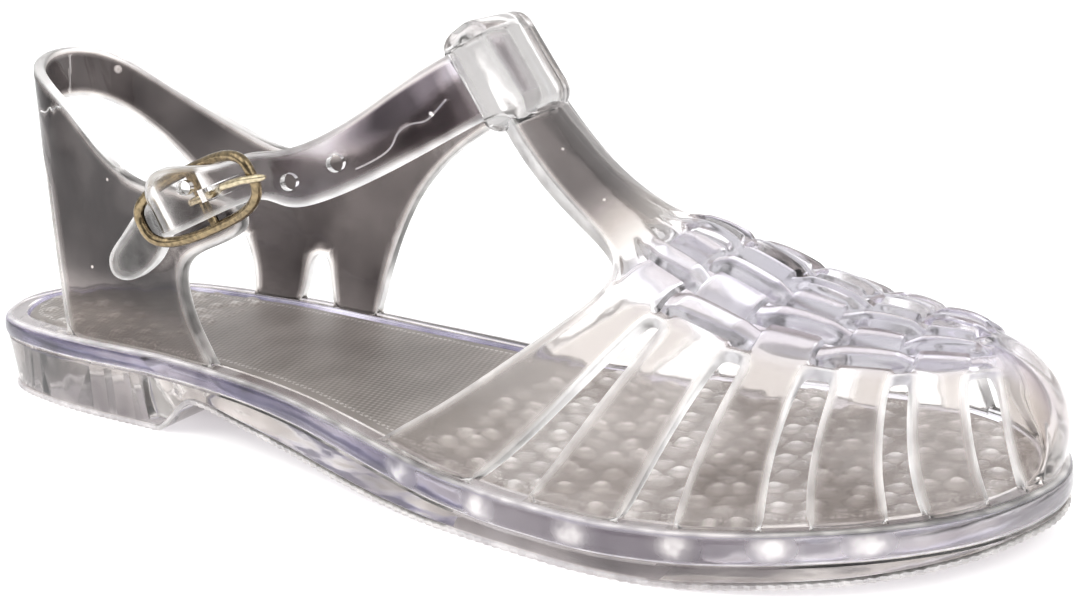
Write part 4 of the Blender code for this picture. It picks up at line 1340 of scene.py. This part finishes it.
def canvas_vinyl(name, ripple, shadow):
    """Footbed: clear vinyl with a canvas grain pressed into it and a dotted line round its edge; its pimples
    get painted highlights on their tops, painted shade between them and painted glints.
    """
    mat, tree = new_material(name)
    spot = own_place(tree)
    turned = add(tree, "Mapping", {"Vector": spot, "Rotation": (0.0, 0.0, CANVAS_TURN)}).outputs["Vector"]
    axes = add(tree, "SeparateXYZ", {0: turned}).outputs
    warp, weft = (sine_of(tree, axes[axis], CANVAS_PITCH * MM) for axis in ("X", "Y"))
    threads = maths(tree, "MULTIPLY", warp, weft)
    edge = painted_number(tree, "edge_mm")
    canvas = painted_number(tree, "canvas")
    lump = painted_number(tree, "lump")
    off_line = maths(tree, "ABSOLUTE", maths(tree, "SUBTRACT", edge, STITCH_INSET))
    line = maths(tree, "LESS_THAN", off_line, STITCH_HALF_WIDTH)
    border = maths(tree, "MULTIPLY", line, maths(tree, "GREATER_THAN", threads, 0.1))
    inside = maths(tree, "GREATER_THAN", edge, STITCH_INSET + 0.6)
    grain = maths(tree, "MULTIPLY", maths(tree, "MULTIPLY", threads, inside), canvas)
    cloud = noise(tree, spot, 55.0, 4.0, 0.6)
    # Painted light: pimples lighter on their tops and darker between them, from the lump number
    shade = weighted_sum(tree, 0.27, (cloud, 0.6), (grain, 0.2), (border, 0.45), (lump, 0.55),
                         (canvas, -0.16))
    # Painted glints: emission on the tallest pimple tops
    glint = maths(tree, "MULTIPLY", maths(tree, "MAXIMUM", maths(tree, "SUBTRACT", lump, 0.6), 0.0), 4.0)
    waves = add(tree, "Group", {"Vector": spot}, node_tree=ripple).outputs["Height"]
    height = weighted_sum(tree, 0.0, (grain, 0.09), (border, 0.3), (waves, 0.2))
    dress(tree, {"Transmission Weight": 0.72, "IOR": VINYL_IOR, "Base Color": ramp(tree, CANVAS_SMOKE, shade),
                 "Roughness": weighted_sum(tree, 0.08, (canvas, 0.2), (cloud, 0.15)),
                 "Emission Color": maths(tree, "MULTIPLY", glint, cloud), "Emission Strength": 0.35,
                 "Normal": bumped(tree, height, 0.8)})
    let_light_through(tree, shadow)
    return mat


def tarnish_group():
    """Worn wire: bright and dulled metal in fine spots."""
    chosen = (("Vector", "Vector"), ("Bright", "Color"), ("Dull", "Color"), ("Roughness", "Float"))
    results = (("Color", "Color"), ("Roughness", "Float"), ("Height", "Float"))
    tree, given, result = new_group("tarnish", chosen, results)
    spots = noise(tree, given["Vector"], 1100.0, 4.0)
    feed(tree, result["Color"], blend(tree, remap(tree, spots, 0.35, 0.62), given["Dull"], given["Bright"]))
    grain = weighted_sum(tree, 0.6, (spots, 0.8))
    feed(tree, result["Roughness"], maths(tree, "MULTIPLY", given["Roughness"], grain))
    feed(tree, result["Height"], spots)
    return tree


def brass(name, tarnish, bright, dull, roughness):
    mat, tree = new_material(name)
    given = {"Vector": own_place(tree), "Bright": (*bright, 1.0), "Dull": (*dull, 1.0),
             "Roughness": roughness}
    worn = add(tree, "Group", given, node_tree=tarnish).outputs
    dress(tree, {"Metallic": 1.0, "Base Color": worn["Color"], "Roughness": worn["Roughness"],
                 "Normal": bumped(tree, worn["Height"], 0.08, 0.0005)})
    return mat


def build_floor():
    bm = bmesh.new()
    bmesh.ops.create_grid(bm, x_segments=2, y_segments=2, size=4.0)
    floor = object_from("floor", bm)
    mat, tree = new_material("pale_floor")
    dress(tree, {"Base Color": (0.86, 0.86, 0.86, 1.0), "Roughness": 0.7})
    floor.data.materials.append(mat)


def area_lamp(name, location, size, watts):
    """Soft lamp that lights the shoe but is not itself seen in its shine."""
    lamp = bpy.data.lights.new(name, "AREA")
    lamp.shape = "RECTANGLE"
    lamp.size, lamp.size_y = size
    lamp.energy = watts
    obj = new_object(name, lamp)
    obj.location = location
    obj.rotation_euler = (Vector(LAMP_AIM) - Vector(location)).to_track_quat("-Z", "Y").to_euler()
    obj.visible_glossy = False
    obj.visible_transmission = False


def sky_patch(tree, sight, direction, begins, full, strength):
    """Soft-edged patch of the studio sky round a direction: lighter, or darker when negative."""
    facing = add(tree, "VectorMath", {0: sight, 1: Vector(direction).normalized()}, operation="DOT_PRODUCT")
    return remap(tree, facing.outputs["Value"], begins, full, 0.0, strength, interpolation_type="SMOOTHSTEP")


def build_light():
    """White studio with two soft boxes overhead and a darker room behind the camera."""
    world = bpy.data.worlds.new("studio")
    bpy.context.scene.world = world
    world.use_nodes = True
    tree = world.node_tree
    sight = add(tree, "TexCoord").outputs["Generated"]
    light = SKY_LEVEL
    for patch in SKY_PATCHES:
        light = maths(tree, "ADD", sky_patch(tree, sight, *patch), light)
    sky = tree.nodes["Background"].inputs
    feed(tree, sky["Strength"], light)
    feed(tree, sky["Color"], (1.0, 1.0, 1.0, 1.0))
    area_lamp("key", (-0.35, -0.55, 0.75), (0.5, 0.35), 6.0)
    area_lamp("side", (0.65, -0.15, 0.5), (0.3, 0.5), 3.0)
    area_lamp("back", (-0.1, 0.75, 0.5), (0.7, 0.2), 4.0)


def build_camera():
    turn, rise = VIEW_TURN, VIEW_RISE
    back = Vector((math.sin(turn) * math.cos(rise), -math.cos(turn) * math.cos(rise), math.sin(rise)))
    right = (-back).cross(Vector((0.0, 0.0, 1.0))).normalized()
    up = right.cross(-back)
    c, s = math.cos(VIEW_ROLL), math.sin(VIEW_ROLL)
    right, up = right * c + up * s, up * c - right * s
    lens = bpy.data.cameras.new("camera")
    lens.sensor_width = 36.0
    lens.lens = VIEW_LENS
    lens.clip_start = 0.01
    obj = new_object("camera", lens)
    turned = Matrix((right, up, back)).transposed().to_4x4()
    turned.translation = place(VIEW_AIM) + back * VIEW_DISTANCE
    obj.matrix_world = turned
    bpy.context.scene.camera = obj


def main():
    build_camera()
    ripple = mould_ripple_group()
    groups = (ripple, smoked_vinyl_group())
    clear = clear_vinyl("clear_vinyl", groups, (0.92, 0.9, 1.0), 0.5, 0.05, 0.25, (0.85, 0.84, 0.85))
    # rear_vinyl is a darker copy of the clear vinyl for the rear walls, painted shade: its grey Specular Tint
    # dims its reflections
    rear = clear_vinyl("rear_vinyl", groups, (0.88, 0.86, 1.0), 0.5, 0.05, 0.25, (0.85, 0.84, 0.85))
    dress(rear.node_tree, {"Specular Tint": (0.28, 0.27, 0.27, 1.0)})
    sole_clear = clear_vinyl("sole_vinyl", groups, (0.36, 0.36, 0.94), 3.2, 0.06, 0.2, (0.85, 0.84, 0.86))
    build_sole(sole_clear)
    build_footbed(canvas_vinyl("footbed_vinyl", ripple, (0.8, 0.78, 0.78)))
    build_cage(clear)
    build_straps(rear)
    tarnish = tarnish_group()
    build_buckle(brass("frame_wire", tarnish, (0.33, 0.255, 0.15), (0.15, 0.115, 0.07), 0.14),
                 brass("tongue_wire", tarnish, (0.66, 0.57, 0.4), (0.4, 0.34, 0.22), 0.22))
    build_floor()
    build_light()
    scene = bpy.context.scene
    scene.view_settings.view_transform = "Standard"
    scene.cycles.max_bounces = LIGHT_BOUNCES
    scene.cycles.transmission_bounces = LIGHT_BOUNCES
    scene.cycles.transparent_max_bounces = LIGHT_BOUNCES


main()
